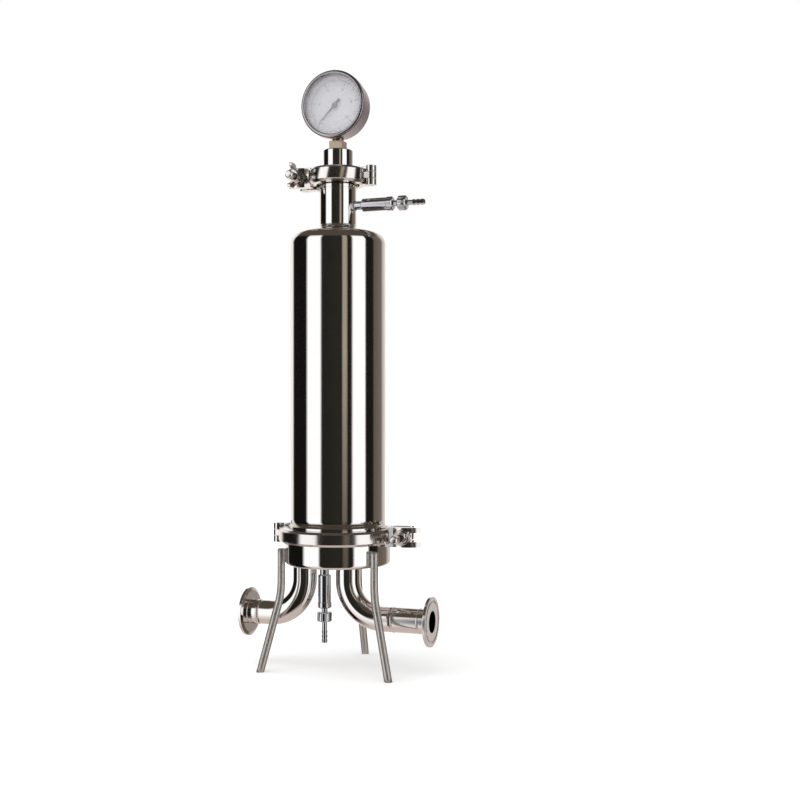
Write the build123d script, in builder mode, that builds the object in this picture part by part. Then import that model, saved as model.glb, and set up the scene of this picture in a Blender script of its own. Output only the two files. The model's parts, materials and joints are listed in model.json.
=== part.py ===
"""Hygienic cartridge filter housing for one 10 inch cartridge, with both ports below the base.

The origin is on the housing's axis at the floor, +Z is up, the ports lie along X (outlet +X, inlet -X)
and the gauge faces -Y. Sizes are in millimetres. Every piece is one solid in one STEP file.
"""
import os
from math import acos, asin, cos, degrees, radians, sin, sqrt, tan

from build123d import *

os.makedirs("parts", exist_ok=True)

# ---------------------------------------------------------------- clearances
running_fit = 0.05  # radial play of a spindle, pin or nut that turns
seat_gap = 0.3  # gap between curved faces that move past each other
fork_play = 0.5  # side play of an eye, a knuckle or a bolt in its slot

# ---------------------------------------------------------------- tube and ferrule sizes
port_tube_od = 25.4
port_tube_wall = 1.65
neck_tube_od = 38.1
neck_tube_wall = 1.65
ferrule_od = 50.5
ferrule_rim = 2.85  # thickness of the clamped rim
ferrule_back = 3.5  # depth of the tapered back face, measured inward from the rim
ferrule_length = 12.7
ferrule_taper = 20.0  # degrees, the back face of every clamped rim
ferrule_groove_width = 2.1
ferrule_groove_depth = 1.1
gasket_thickness = 1.6
port_bore = port_tube_od - 2 * port_tube_wall
ferrule_back_od = ferrule_od - 2 * ferrule_back

# ---------------------------------------------------------------- ports
port_height = 54.0  # port axes above the floor
elbow_radius = 38.1
elbow_tangent = 12.7
elbow_drop = 16.4  # straight run between the base and the bend
outlet_spool_length = 27.5
inlet_ledge = 0.9  # floor left between the socket's outside and the inlet's hole
outlet_ledge = 0.1  # floor left between the socket's bore and the outlet's hole

# ---------------------------------------------------------------- base
plate_thickness = 6.0
drum_height = 23.0
drum_wall = 4.5
drum_edge_radius = 4.0
drum_step = 4.5  # drum beyond the bottom of the clamp's groove
flange_depth = 6.0  # depth of the clamped rim beyond the bottom of the groove
flange_rim = 2.9

# ---------------------------------------------------------------- legs
leg_rod = 8.0
foot_spread = 21.5  # foot centre beyond the straight part of its leg
leg_knee_height = 80.0
leg_knee_radius = 90.0
leg_top_gap = 6.0  # leg tops below the top of the drum
leg_names = ("leg_rear", "leg_left", "leg_right")  # anticlockwise from the rear, evenly spaced

# ---------------------------------------------------------------- bell
bell_od = 98.0
bell_wall = 1.5
bell_straight = 289.0  # straight side above the flange
bell_hub_height = 9.6  # flange hub above the joint's middle
bell_hub_step = 1.0  # flange hub beyond the bell
knuckle_radius = 12.0
crown_radius = 150.0

# ---------------------------------------------------------------- neck and top joint
neck_length = 40.0  # tube between the bell and the ferrule
adapter_boss_od = 31.0
adapter_boss_height = 21.0
adapter_web = 6.0

# ---------------------------------------------------------------- clamps
main_ring_wall = 5.0  # ring beyond the clamped rims
main_ring_height = 14.3
main_lip_gap = 1.2  # ring's lips outside the bottom of the groove
top_ring_wall = 5.25
top_ring_height = 16.0
top_lip_gap = 0.6
main_bolt_offset = 12.5  # swing bolt outside the ring
top_bolt_offset = 10.0
main_nut_turns = 9.0
top_nut_turns = 6.0
ear_height = 20.0
ear_gap = 8.0
slotted_ear = 9.0  # thickness of the ear under the nut
pin_ear = 12.0  # thickness of the ear round the bolt's pin
main_ear_reach = 18.0  # slotted ear beyond the bolt
top_ear_reach = 9.5
hinge_gap = 3.0
knuckle_od = 11.0
clamp_pin = 5.0
bolt_d = 8.0
bolt_eye_od = 11.0
bolt_eye_thickness = 7.0
bolt_pitch = 1.25
bolt_spare = 2.0
washer_od = 16.0
washer_thickness = 1.6
nut_hub_od = 14.0
nut_hub_top_od = 11.5
nut_height = 10.0
wing_span = 25.0
wing_rise = 16.5
wing_thickness = 3.2
main_wing_tilt = 20.0
top_wing_tilt = 85.0

# ---------------------------------------------------------------- vent and drain valves
vent_drop = 30.0  # vent axis below the top joint
drain_offset = 15.0
valve_bore = 5.0
valve_barrel_od = 13.5
valve_seat_land = 1.5
valve_spindle = 8.0
valve_stem = 6.2
valve_seal_od = 7.4
valve_seal_thickness = 3.0
valve_lift = 3.0
valve_shank = 6.0  # seal's threaded shank inside the spindle, beyond its lift
valve_retainer = 2.0  # gland's inward lip, which holds the spindle in
valve_gland_od = 14.5
valve_gland_length = 6.0
valve_nozzle_bore = 3.8
vent_stub_od = 9.0
vent_stub_length = 9.0
vent_barrel = 26.5
vent_stem_gap = 5.5
vent_ring_od = 15.0
vent_ring_length = 9.0
vent_nozzle = 19.0
drain_stub_od = 10.0
drain_stub_length = 12.5
drain_barrel = 28.0
drain_stem_gap = 4.0
drain_ring_od = 15.5
drain_ring_length = 10.0
drain_nozzle = 22.0
nozzle_od = 5.2
nozzle_barb_od = 6.6
nozzle_barb_pitch = 4.5
nozzle_barbs = 3
grip_flutes = 12
grip_flute_radius = 1.1
grip_edge = 1.0

# ---------------------------------------------------------------- gauge
gauge_rise = 37.0  # bottom of the case above the adapter's flange
gauge_case_od = 64.4
gauge_bezel_od = 69.0
gauge_front = 17.0  # bezel's front from the stem's axis
gauge_back = 12.0
gauge_wall = 1.2
gauge_lip = 1.8
gauge_lens_thickness = 2.0
gauge_bezel_depth = 10.5
bezel_edge = 1.2
dial_setback = 6.2  # from the back of the lens to the back of the dial
dial_thickness = 0.8
stem_thread_od = 13.2
stem_thread_length = 9.0
stem_square = 14.0
stem_neck_od = 12.0
stem_block = 9.8  # square block inside the case
pointer_length = 24.0
pointer_tail = 8.0
pointer_hub_od = 6.0
pointer_thickness = 0.6
pointer_lift = 1.7
arbor_d = 2.0
bourdon_radius = 21.0
bourdon_tube_od = 5.0
bourdon_arc = 250.0
movement_size = 18.0
movement_plate = 1.2
movement_depth = 6.0
movement_gap = 1.0

# ---------------------------------------------------------------- cartridge and its socket
socket_bore = 44.3
socket_wall = 2.9
socket_height = 33.5
tool_clear = 1.0  # slot cutter beyond the socket
socket_reveal = 2.0  # adapter's flange beyond the socket's outside
cartridge_length = 254.0
cap_height = 9.0
cap_edge = 1.0
cage_wall = 1.4
cage_rows = 9
cage_columns = 8
core_od = 33.0
core_wall = 2.0
core_rows = 7
core_columns = 6
pleat_count = 32
pleat_outer_od = 64.0
cage_play = 1.1  # between the pleats and the cage
core_play = 1.5  # between the pleats and the core
pleat_paper = 0.8
plug_play = 0.35
plug_bore = 30.0
plug_length = 27.0
plug_edge = 1.0
adapter_flange = 3.0
o_ring_section = 3.53
o_ring_pitch = 6.5
lock_tabs = 3
lock_tab_width = 20.0  # degrees
lock_tab_height = 4.0
lock_tab_root = 1.0  # tab's root outside the plug's bore
lock_tab_reach = 1.0  # tab beyond the socket's outside
lock_tab_drop = 9.0  # tab top below the socket's rim
lock_twist = 20.0  # degrees
lock_play = 1.5  # degrees
fin_height = 25.0
fin_width = 28.0
fin_top = 12.0
fin_thickness = 2.0

# ---------------------------------------------------------------- sizes that follow
main_neck_od = bell_od + 2 * bell_hub_step  # bottom of the main clamp's groove
main_flange_od = main_neck_od + 2 * flange_depth
drum_od = main_neck_od + 2 * drum_step
main_ring_od = main_flange_od + 2 * main_ring_wall
top_ring_od = ferrule_od + 2 * top_ring_wall
socket_od = socket_bore + 2 * socket_wall
plug_od = socket_bore - 2 * plug_play
adapter_flange_od = socket_od + 2 * socket_reveal
cartridge_od = pleat_outer_od + 2 * (cage_play + cage_wall)
pleat_inner_od = core_od + 2 * core_play
inlet_offset = socket_od / 2 + inlet_ledge + port_bore / 2  # inlet riser, on the -X side
outlet_offset = socket_bore / 2 - outlet_ledge - port_bore / 2  # outlet riser, on the +X side
inlet_elbow_end = inlet_offset + elbow_radius + elbow_tangent
outlet_elbow_end = outlet_offset + elbow_radius + elbow_tangent
outlet_reach = outlet_elbow_end + outlet_spool_length + ferrule_length
inlet_reach = outlet_reach
leg_circle = drum_od + leg_rod
foot_circle = leg_circle + 2 * foot_spread

# ---------------------------------------------------------------- levels
plate_bottom = port_height + elbow_radius + elbow_drop
plate_top = plate_bottom + plate_thickness
drum_top = plate_bottom + drum_height
main_joint = drum_top + seat_gap + main_ring_height / 2
bell_foot = main_joint + bell_hub_height
bell_shoulder = bell_foot + bell_straight
crown_centre = bell_shoulder - sqrt(
    (crown_radius - knuckle_radius) ** 2 - (bell_od / 2 - knuckle_radius) ** 2
)
neck_foot = crown_centre + sqrt((crown_radius - bell_wall) ** 2 - (neck_tube_od / 2) ** 2)
neck_ferrule_foot = crown_centre + sqrt(crown_radius**2 - (neck_tube_od / 2) ** 2) + neck_length
top_joint = neck_ferrule_foot + ferrule_length + gasket_thickness / 2
adapter_foot = top_joint + gasket_thickness / 2
adapter_top = adapter_foot + adapter_web + adapter_boss_height
gauge_centre = adapter_foot + gauge_rise + gauge_bezel_od / 2 + seat_gap
vent_height = top_joint - vent_drop
socket_rim = plate_top + socket_height
slope = tan(radians(ferrule_taper))

upright = Plane.XZ  # radius along X, height along Z


def save(piece, name):
    """Label a finished piece and write its STEP file."""
    piece.part.label = name
    export_step(piece.part, f"parts/{name}.step")


def axis_plane(origin, outward, across):
    """A plane with X across an axis and Y outward along it."""
    return Plane(origin, x_dir=across, z_dir=Vector(*across).cross(Vector(*outward)))


def turn(plane, points, arc=360, mode=Mode.ADD):
    """Turn a closed outline of (radius, distance) points about the plane's Y."""
    with BuildSketch(plane) as outline:
        with BuildLine():
            Polyline(*points, close=True)
        make_face()
    revolve(
        outline.sketch,
        axis=Axis(plane.origin, plane.y_dir),
        revolution_arc=arc,
        mode=mode,
    )


def bar(plane, radius, start, end, mode=Mode.ADD):
    """A round bar along the plane's Y, from start to end."""
    turn(plane, [(0, start), (radius, start), (radius, end), (0, end)], mode=mode)


def clamp_rim(face, back, rim_r, back_r, hub_r, bore_r, rim, length):
    """Outline of a clamped ferrule: its face at `face`, its hub running `back` (+1 or -1) from it."""
    shoulder = rim + (rim_r - back_r) * slope
    step = [(hub_r, face + back * shoulder)] if hub_r < back_r else []
    return [
        (bore_r, face),
        (rim_r, face),
        (rim_r, face + back * rim),
        (back_r, face + back * shoulder),
        *step,
        (hub_r, face + back * length),
        (bore_r, face + back * length),
    ]


# ================================================================ base and ports
with BuildPart() as base_pan:
    drum_r = drum_od / 2
    neck_r = main_neck_od / 2
    rim_face = main_joint - gasket_thickness / 2
    rim_back = rim_face - flange_rim
    cavity_r = bell_od / 2 - bell_wall
    chamber_r = drum_r - drum_wall
    turn(
        upright,
        [
            (0, plate_bottom),
            (drum_r, plate_bottom),
            (drum_r, drum_top),
            (neck_r, drum_top),
            (neck_r, rim_back - (main_flange_od / 2 - neck_r) * slope),
            (main_flange_od / 2, rim_back),
            (main_flange_od / 2, rim_face),
            (cavity_r, rim_face),
            (cavity_r, drum_top - drum_wall / 2),
            (chamber_r, drum_top - drum_wall / 2 - abs(chamber_r - cavity_r)),
            (chamber_r, plate_top),
            (0, plate_top),
        ],
    )
    rim_edge = base_pan.edges().filter_by(GeomType.CIRCLE).group_by(Axis.Z)[0]
    fillet(rim_edge.sort_by(SortBy.RADIUS)[-1], radius=drum_edge_radius)
    for offset, hole_r in (
        (-inlet_offset, port_bore / 2),
        (outlet_offset, port_bore / 2),
        (-drain_offset, valve_bore / 2),
    ):
        with BuildSketch(Plane.XY.offset(plate_bottom)):
            with Locations((offset, 0)):
                Circle(hole_r)
        extrude(amount=plate_thickness, mode=Mode.SUBTRACT)
save(base_pan, "base_pan")


def port_path(offset, side):
    """Centre line of a port elbow: down from the base, round the bend and out along X."""
    knee = port_height + elbow_radius
    with BuildLine(Plane.XZ) as path:
        Line((offset, plate_bottom), (offset, knee))
        bend = CenterArc(
            (offset + side * elbow_radius, knee),
            elbow_radius,
            180 if side > 0 else 0,
            90 * side,
        )
        Line(bend @ 1, bend @ 1 + Vector(side * elbow_tangent, 0))
    return path


for elbow_name, offset, side in (
    ("inlet_elbow", -inlet_offset, -1),
    ("outlet_elbow", outlet_offset, 1),
):
    path = port_path(offset, side)
    with BuildPart() as elbow:
        with BuildSketch(Plane((offset, 0, plate_bottom), z_dir=(0, 0, -1))):
            Circle(port_tube_od / 2)
            Circle(port_bore / 2, mode=Mode.SUBTRACT)
        sweep(path=path.line)
    save(elbow, elbow_name)


def make_port_ferrule(name, side, reach, length):
    """A 1 inch clamp ferrule whose face is `reach` from the housing's axis."""
    mouth = axis_plane((0, 0, port_height), (side, 0, 0), (0, 0, 1))
    with BuildPart() as ferrule:
        turn(
            mouth,
            clamp_rim(
                reach,
                -1,
                ferrule_od / 2,
                ferrule_back_od / 2,
                port_tube_od / 2,
                port_bore / 2,
                ferrule_rim,
                length,
            ),
        )
        groove_in = (ferrule_back_od - ferrule_groove_width) / 2
        groove_out = (ferrule_back_od + ferrule_groove_width) / 2
        turn(
            mouth,
            [
                (groove_in, reach - ferrule_groove_depth),
                (groove_out, reach - ferrule_groove_depth),
                (groove_out, reach),
                (groove_in, reach),
            ],
            mode=Mode.SUBTRACT,
        )
    save(ferrule, name)


make_port_ferrule("inlet_ferrule", -1, inlet_reach, inlet_reach - inlet_elbow_end)
make_port_ferrule("outlet_ferrule", 1, outlet_reach, ferrule_length)

with BuildPart() as outlet_spool:
    spool_axis = axis_plane((0, 0, port_height), (1, 0, 0), (0, 0, 1))
    spool_end = outlet_reach - ferrule_length
    turn(
        spool_axis,
        [
            (port_bore / 2, outlet_elbow_end),
            (port_tube_od / 2, outlet_elbow_end),
            (port_tube_od / 2, spool_end),
            (port_bore / 2, spool_end),
        ],
    )
save(outlet_spool, "outlet_spool")

# ================================================================ legs
for count, leg_name in enumerate(leg_names):
    angle = 90 + 360 / len(leg_names) * count
    out = (cos(radians(angle)), sin(radians(angle)), 0)
    leg_plane = axis_plane((0, 0, 0), (0, 0, 1), out)
    shank_x = leg_circle / 2
    foot_x = foot_circle / 2
    below = leg_rod  # the rod runs on below the floor and is cut off flat
    splay = (foot_x - shank_x) / leg_knee_height
    with BuildLine(leg_plane) as leg_path:
        FilletPolyline(
            (shank_x, drum_top - leg_top_gap),
            (shank_x, leg_knee_height),
            (foot_x + splay * below, -below),
            radius=leg_knee_radius,
        )
    with BuildPart() as leg:
        with BuildSketch(Plane(leg_path.line @ 0, z_dir=leg_path.line % 0)):
            Circle(leg_rod / 2)
        sweep(path=leg_path.line)
        split(bisect_by=Plane.XY, keep=Keep.TOP)
    save(leg, leg_name)

# ================================================================ bell, neck and joint rings
with BuildPart() as main_gasket:
    turn(
        upright,
        [
            (cavity_r, main_joint - gasket_thickness / 2),
            (main_flange_od / 2 - seat_gap, main_joint - gasket_thickness / 2),
            (main_flange_od / 2 - seat_gap, main_joint + gasket_thickness / 2),
            (cavity_r, main_joint + gasket_thickness / 2),
        ],
    )
save(main_gasket, "main_gasket")

with BuildPart() as bell_flange:
    turn(
        upright,
        clamp_rim(
            main_joint + gasket_thickness / 2,
            1,
            main_flange_od / 2,
            main_neck_od / 2,
            main_neck_od / 2,
            cavity_r,
            flange_rim,
            bell_hub_height - gasket_thickness / 2,
        ),
    )
    hub_edge = bell_flange.edges().filter_by(GeomType.CIRCLE).group_by(Axis.Z)[-1]
    chamfer(hub_edge.sort_by(SortBy.RADIUS)[-1], length=bell_hub_step)
save(bell_flange, "bell_flange")

with BuildPart() as bell_shell:
    shell_r = bell_od / 2
    knuckle_x = shell_r - knuckle_radius
    crown_start = degrees(acos(knuckle_x / (crown_radius - knuckle_radius)))
    neck_r = neck_tube_od / 2
    outer_end = degrees(acos(neck_r / crown_radius))
    inner_end = degrees(acos(neck_r / (crown_radius - bell_wall)))
    with BuildSketch(upright):
        with BuildLine():
            outside = Line((shell_r, bell_foot), (shell_r, bell_shoulder))
            CenterArc((knuckle_x, bell_shoulder), knuckle_radius, 0, crown_start)
            crown = CenterArc(
                (0, crown_centre), crown_radius, crown_start, outer_end - crown_start
            )
            ceiling = CenterArc(
                (0, crown_centre),
                crown_radius - bell_wall,
                crown_start,
                inner_end - crown_start,
            )
            Line(crown @ 1, ceiling @ 1)
            CenterArc(
                (knuckle_x, bell_shoulder), knuckle_radius - bell_wall, 0, crown_start
            )
            inside = Line(
                (shell_r - bell_wall, bell_foot), (shell_r - bell_wall, bell_shoulder)
            )
            Line(outside @ 0, inside @ 0)
        make_face()
    revolve(axis=Axis.Z)
save(bell_shell, "bell_shell")

with BuildPart() as neck_tube:
    neck_bore_r = neck_tube_od / 2 - neck_tube_wall
    turn(
        upright,
        [
            (neck_bore_r, neck_foot),
            (neck_tube_od / 2, neck_foot),
            (neck_tube_od / 2, neck_ferrule_foot),
            (neck_bore_r, neck_ferrule_foot),
        ],
    )
    vent_axis = axis_plane((0, 0, vent_height), (1, 0, 0), (0, 0, 1))
    bar(vent_axis, valve_bore / 2, 0, neck_tube_od, mode=Mode.SUBTRACT)
save(neck_tube, "neck_tube")

with BuildPart() as neck_ferrule:
    turn(
        upright,
        clamp_rim(
            top_joint - gasket_thickness / 2,
            -1,
            ferrule_od / 2,
            ferrule_back_od / 2,
            neck_tube_od / 2,
            neck_bore_r,
            ferrule_rim,
            ferrule_length,
        ),
    )
save(neck_ferrule, "neck_ferrule")

with BuildPart() as top_gasket:
    turn(
        upright,
        [
            (neck_bore_r, top_joint - gasket_thickness / 2),
            (ferrule_od / 2 - seat_gap, top_joint - gasket_thickness / 2),
            (ferrule_od / 2 - seat_gap, top_joint + gasket_thickness / 2),
            (neck_bore_r, top_joint + gasket_thickness / 2),
        ],
    )
save(top_gasket, "top_gasket")

with BuildPart() as gauge_adapter:
    turn(
        upright,
        clamp_rim(
            adapter_foot,
            1,
            ferrule_od / 2,
            ferrule_back_od / 2,
            adapter_boss_od / 2,
            0,
            ferrule_rim,
            adapter_web + adapter_boss_height,
        ),
    )
    boss_edge = gauge_adapter.edges().filter_by(GeomType.CIRCLE).group_by(Axis.Z)[-1]
    chamfer(boss_edge, length=1.0)
    bar(upright, valve_bore / 2, adapter_foot, adapter_top, mode=Mode.SUBTRACT)
    bar(
        upright,
        stem_thread_od / 2,
        adapter_top - stem_thread_length,
        adapter_top,
        mode=Mode.SUBTRACT,
    )
save(gauge_adapter, "gauge_adapter")


# ================================================================ clamps
def make_clamp(name, side, level, rim_r, lip_r, rim, ring_r, ring_height, bolt_offset, reach, turns, tilt):
    """A hinged clamp for one joint: two grooved halves, two pins, swing bolt, washer and wing nut.

    The swing bolt stands on the `side` of X, the hinge opposite, and the nut is at the -Y end.
    """
    bolt_x = ring_r + bolt_offset
    pin_y = ear_gap / 2 + pin_ear / 2
    face_r = pin_y + ear_gap / 2 + slotted_ear  # nut face from the bolt's pin
    hinge_x = -side * (ring_r + knuckle_od / 2 + fork_play)
    groove_r = rim_r + seat_gap + running_fit
    bolt_point = (side * bolt_x, pin_y)
    top = level + ear_height / 2
    knuckle_height = ear_height / 3
    edge = (ring_r - groove_r) / 2
    half = ring_height / 2
    gasket_half = gasket_thickness / 2
    groove_edge = gasket_half + rim + seat_gap / cos(radians(ferrule_taper))
    groove_out = groove_edge - (groove_r - rim_r) * slope
    groove_in = groove_edge + (rim_r - lip_r) * slope
    middle = Plane.XZ.shift_origin((0, 0, level))
    void = [
        (0, -ring_height),
        (lip_r, -ring_height),
        (lip_r, -groove_in),
        (groove_r, -groove_out),
        (groove_r, groove_out),
        (lip_r, groove_in),
        (lip_r, ring_height),
        (0, ring_height),
    ]
    blank = [
        (0, -half),
        (ring_r - edge, -half),
        (ring_r, -half + edge),
        (ring_r, half - edge),
        (ring_r - edge, half),
        (0, half),
    ]
    ear_root = groove_r  # ears start inside the ring and are cut back to the groove
    washer_clear = bolt_x - washer_od / 2 - fork_play

    def slab(x_low, x_high, y_low, y_high, mode):
        """A block of the ring's height and more, over an area seen from above."""
        with BuildSketch(Plane.XY.offset(level - ring_height)) as area:
            with Locations(((x_low + x_high) / 2, (y_low + y_high) / 2)):
                Rectangle(abs(x_high - x_low), abs(y_high - y_low))
        extrude(area.sketch, amount=2 * ring_height, mode=mode)

    def slot(inner_x, width):
        """A slot for the bolt, round at its inner end and open outward."""
        far = bolt_x + reach + pin_ear
        with BuildSketch(Plane.XZ.offset(-ring_r)) as cut:
            with Locations((side * (inner_x + width / 2), level)):
                Circle(width / 2)
            with Locations((side * (inner_x + width / 2 + far) / 2, level)):
                Rectangle(far - inner_x - width / 2, width)
        extrude(cut.sketch, amount=2 * ring_r, mode=Mode.SUBTRACT)

    def knuckle(low, high, lug_side):
        """A hinge knuckle and the lug that joins it to the ring."""
        with BuildSketch(Plane.XY.offset(level + low)) as eye:
            with Locations((hinge_x, 0)):
                Circle(knuckle_od / 2)
            with Locations(((hinge_x - side * ear_root) / 2, lug_side * knuckle_od / 4)):
                Rectangle(abs(hinge_x) - ear_root, knuckle_od / 2)
        extrude(eye.sketch, amount=high - low)

    def pin_hole(point, diameter):
        """A hole along Z right through an ear or a knuckle."""
        with BuildSketch(Plane.XY.offset(level - ear_height)) as hole:
            with Locations(point):
                Circle(diameter / 2)
        extrude(hole.sketch, amount=2 * ear_height, mode=Mode.SUBTRACT)

    with BuildPart() as rear_half:
        turn(middle, blank)
        slab(-2 * ring_r, 2 * ring_r, -2 * ring_r, hinge_gap / 2, Mode.SUBTRACT)
        slab(0, side * 2 * ring_r, 0, ear_gap / 2, Mode.SUBTRACT)
        with BuildSketch(Plane.XY.offset(level - ear_height / 2)):
            with Locations(bolt_point):
                Circle(pin_ear / 2)
            with Locations((side * (ear_root + bolt_x) / 2, pin_y)):
                Rectangle(bolt_x - ear_root, pin_ear)
        extrude(amount=ear_height)
        knuckle(knuckle_height / 2 + fork_play / 2, ear_height / 2, 1)
        knuckle(-ear_height / 2, -knuckle_height / 2 - fork_play / 2, 1)
        turn(middle, void, mode=Mode.SUBTRACT)
        slot_r = bolt_d / 2 + fork_play
        eye_room = slot_r - sqrt(slot_r**2 - (bolt_eye_thickness / 2) ** 2)
        slot(bolt_x - bolt_eye_od / 2 - seat_gap - eye_room, 2 * slot_r)
        pin_hole(bolt_point, clamp_pin)
        pin_hole((hinge_x, 0), clamp_pin)
    save(rear_half, f"{name}_clamp_rear_half")

    with BuildPart() as front_half:
        turn(middle, blank)
        slab(-2 * ring_r, 2 * ring_r, -hinge_gap / 2, 2 * ring_r, Mode.SUBTRACT)
        slab(0, side * 2 * ring_r, -ear_gap / 2, 0, Mode.SUBTRACT)
        ear_middle = -(ear_gap + slotted_ear) / 2
        with BuildSketch(Plane.XY.offset(level - ear_height / 2)):
            with Locations(bolt_point):
                Circle(face_r)
            with Locations((side * (ear_root + bolt_x + reach) / 2, ear_middle)):
                Rectangle(bolt_x + reach - ear_root, slotted_ear, mode=Mode.INTERSECT)
            with Locations((side * (ear_root + washer_clear) / 2, ear_middle)):
                Rectangle(washer_clear - ear_root, slotted_ear)
        extrude(amount=ear_height)
        knuckle(-knuckle_height / 2 + fork_play / 2, knuckle_height / 2 - fork_play / 2, -1)
        turn(middle, void, mode=Mode.SUBTRACT)
        slot(bolt_x - bolt_d / 2 - fork_play, bolt_d + 2 * fork_play)
        pin_hole((hinge_x, 0), clamp_pin + 2 * running_fit)
    save(front_half, f"{name}_clamp_front_half")

    for pin_name, point in (("hinge_pin", (hinge_x, 0)), ("bolt_pin", bolt_point)):
        with BuildPart() as pin:
            with BuildSketch(Plane.XY.offset(level - ear_height / 2)):
                with Locations(point):
                    Circle(clamp_pin / 2)
            extrude(amount=ear_height)
            chamfer(pin.edges().filter_by(GeomType.CIRCLE), length=clamp_pin / 10)
        save(pin, f"{name}_clamp_{pin_name}")

    # Distances along the bolt are measured from its pin, outward to -Y.
    bolt_axis = axis_plane((*bolt_point, level), (0, -1, 0), (1, 0, 0))
    washer_face = face_r + seat_gap
    nut_face = washer_face + washer_thickness
    bolt_end = nut_face + nut_height + turns * bolt_pitch + bolt_spare
    with BuildPart() as swing_bolt:
        with BuildSketch(Plane.XY.offset(level - bolt_eye_thickness / 2)):
            with Locations(bolt_point):
                Circle(bolt_eye_od / 2)
        extrude(amount=bolt_eye_thickness)
        tip_edge = bolt_d / 8
        turn(
            bolt_axis,
            [
                (0, 0),
                (bolt_d / 2, 0),
                (bolt_d / 2, bolt_end - tip_edge),
                (bolt_d / 2 - tip_edge, bolt_end),
                (0, bolt_end),
            ],
        )
        pin_hole(bolt_point, clamp_pin + 2 * running_fit)
    save(swing_bolt, f"{name}_clamp_swing_bolt")

    with BuildPart() as washer:
        turn(
            bolt_axis,
            [
                (bolt_d / 2 + fork_play / 2, washer_face),
                (washer_od / 2, washer_face),
                (washer_od / 2, nut_face),
                (bolt_d / 2 + fork_play / 2, nut_face),
            ],
        )
    save(washer, f"{name}_clamp_washer")

    wing_way = (cos(radians(tilt)), 0, sin(radians(tilt)))
    nut_axis = axis_plane((*bolt_point, level), (0, -1, 0), wing_way)
    span = wing_span / 2
    with BuildPart() as wing_nut:
        turn(
            nut_axis,
            [
                (0, nut_face),
                (nut_hub_od / 2, nut_face),
                (nut_hub_od / 2, nut_face + nut_height / 3),
                (nut_hub_top_od / 2, nut_face + nut_height),
                (0, nut_face + nut_height),
            ],
        )
        for hand in (1, -1):
            with BuildSketch(nut_axis) as wing:
                with BuildLine():
                    Polyline(
                        (hand * bolt_d / 2, nut_face + nut_height * 0.15),
                        (hand * span * 0.6, nut_face + nut_height * 0.25),
                        (hand * span, nut_face + wing_rise * 0.5),
                        (hand * span, nut_face + wing_rise),
                        (hand * span * 0.75, nut_face + wing_rise),
                        (hand * span * 0.5, nut_face + nut_height * 0.95),
                        (hand * bolt_d / 2, nut_face + nut_height * 0.9),
                        close=True,
                    )
                make_face()
                wing_tip = wing.vertices().group_by(Axis.Y)[-1]
                fillet(wing.vertices().filter_by(lambda v: v in wing_tip), span * 0.1)
            extrude(wing.sketch, amount=wing_thickness / 2, both=True)
        bar(
            nut_axis,
            bolt_d / 2 + running_fit,
            nut_face,
            nut_face + wing_rise,
            mode=Mode.SUBTRACT,
        )
    save(wing_nut, f"{name}_clamp_wing_nut")


make_clamp(
    "main",
    1,
    main_joint,
    main_flange_od / 2,
    main_neck_od / 2 + main_lip_gap,
    flange_rim,
    main_ring_od / 2,
    main_ring_height,
    main_bolt_offset,
    main_ear_reach,
    main_nut_turns,
    main_wing_tilt,
)
make_clamp(
    "top",
    -1,
    top_joint,
    ferrule_od / 2,
    ferrule_back_od / 2 + top_lip_gap,
    ferrule_rim,
    top_ring_od / 2,
    top_ring_height,
    top_bolt_offset,
    top_ear_reach,
    top_nut_turns,
    top_wing_tilt,
)


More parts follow.
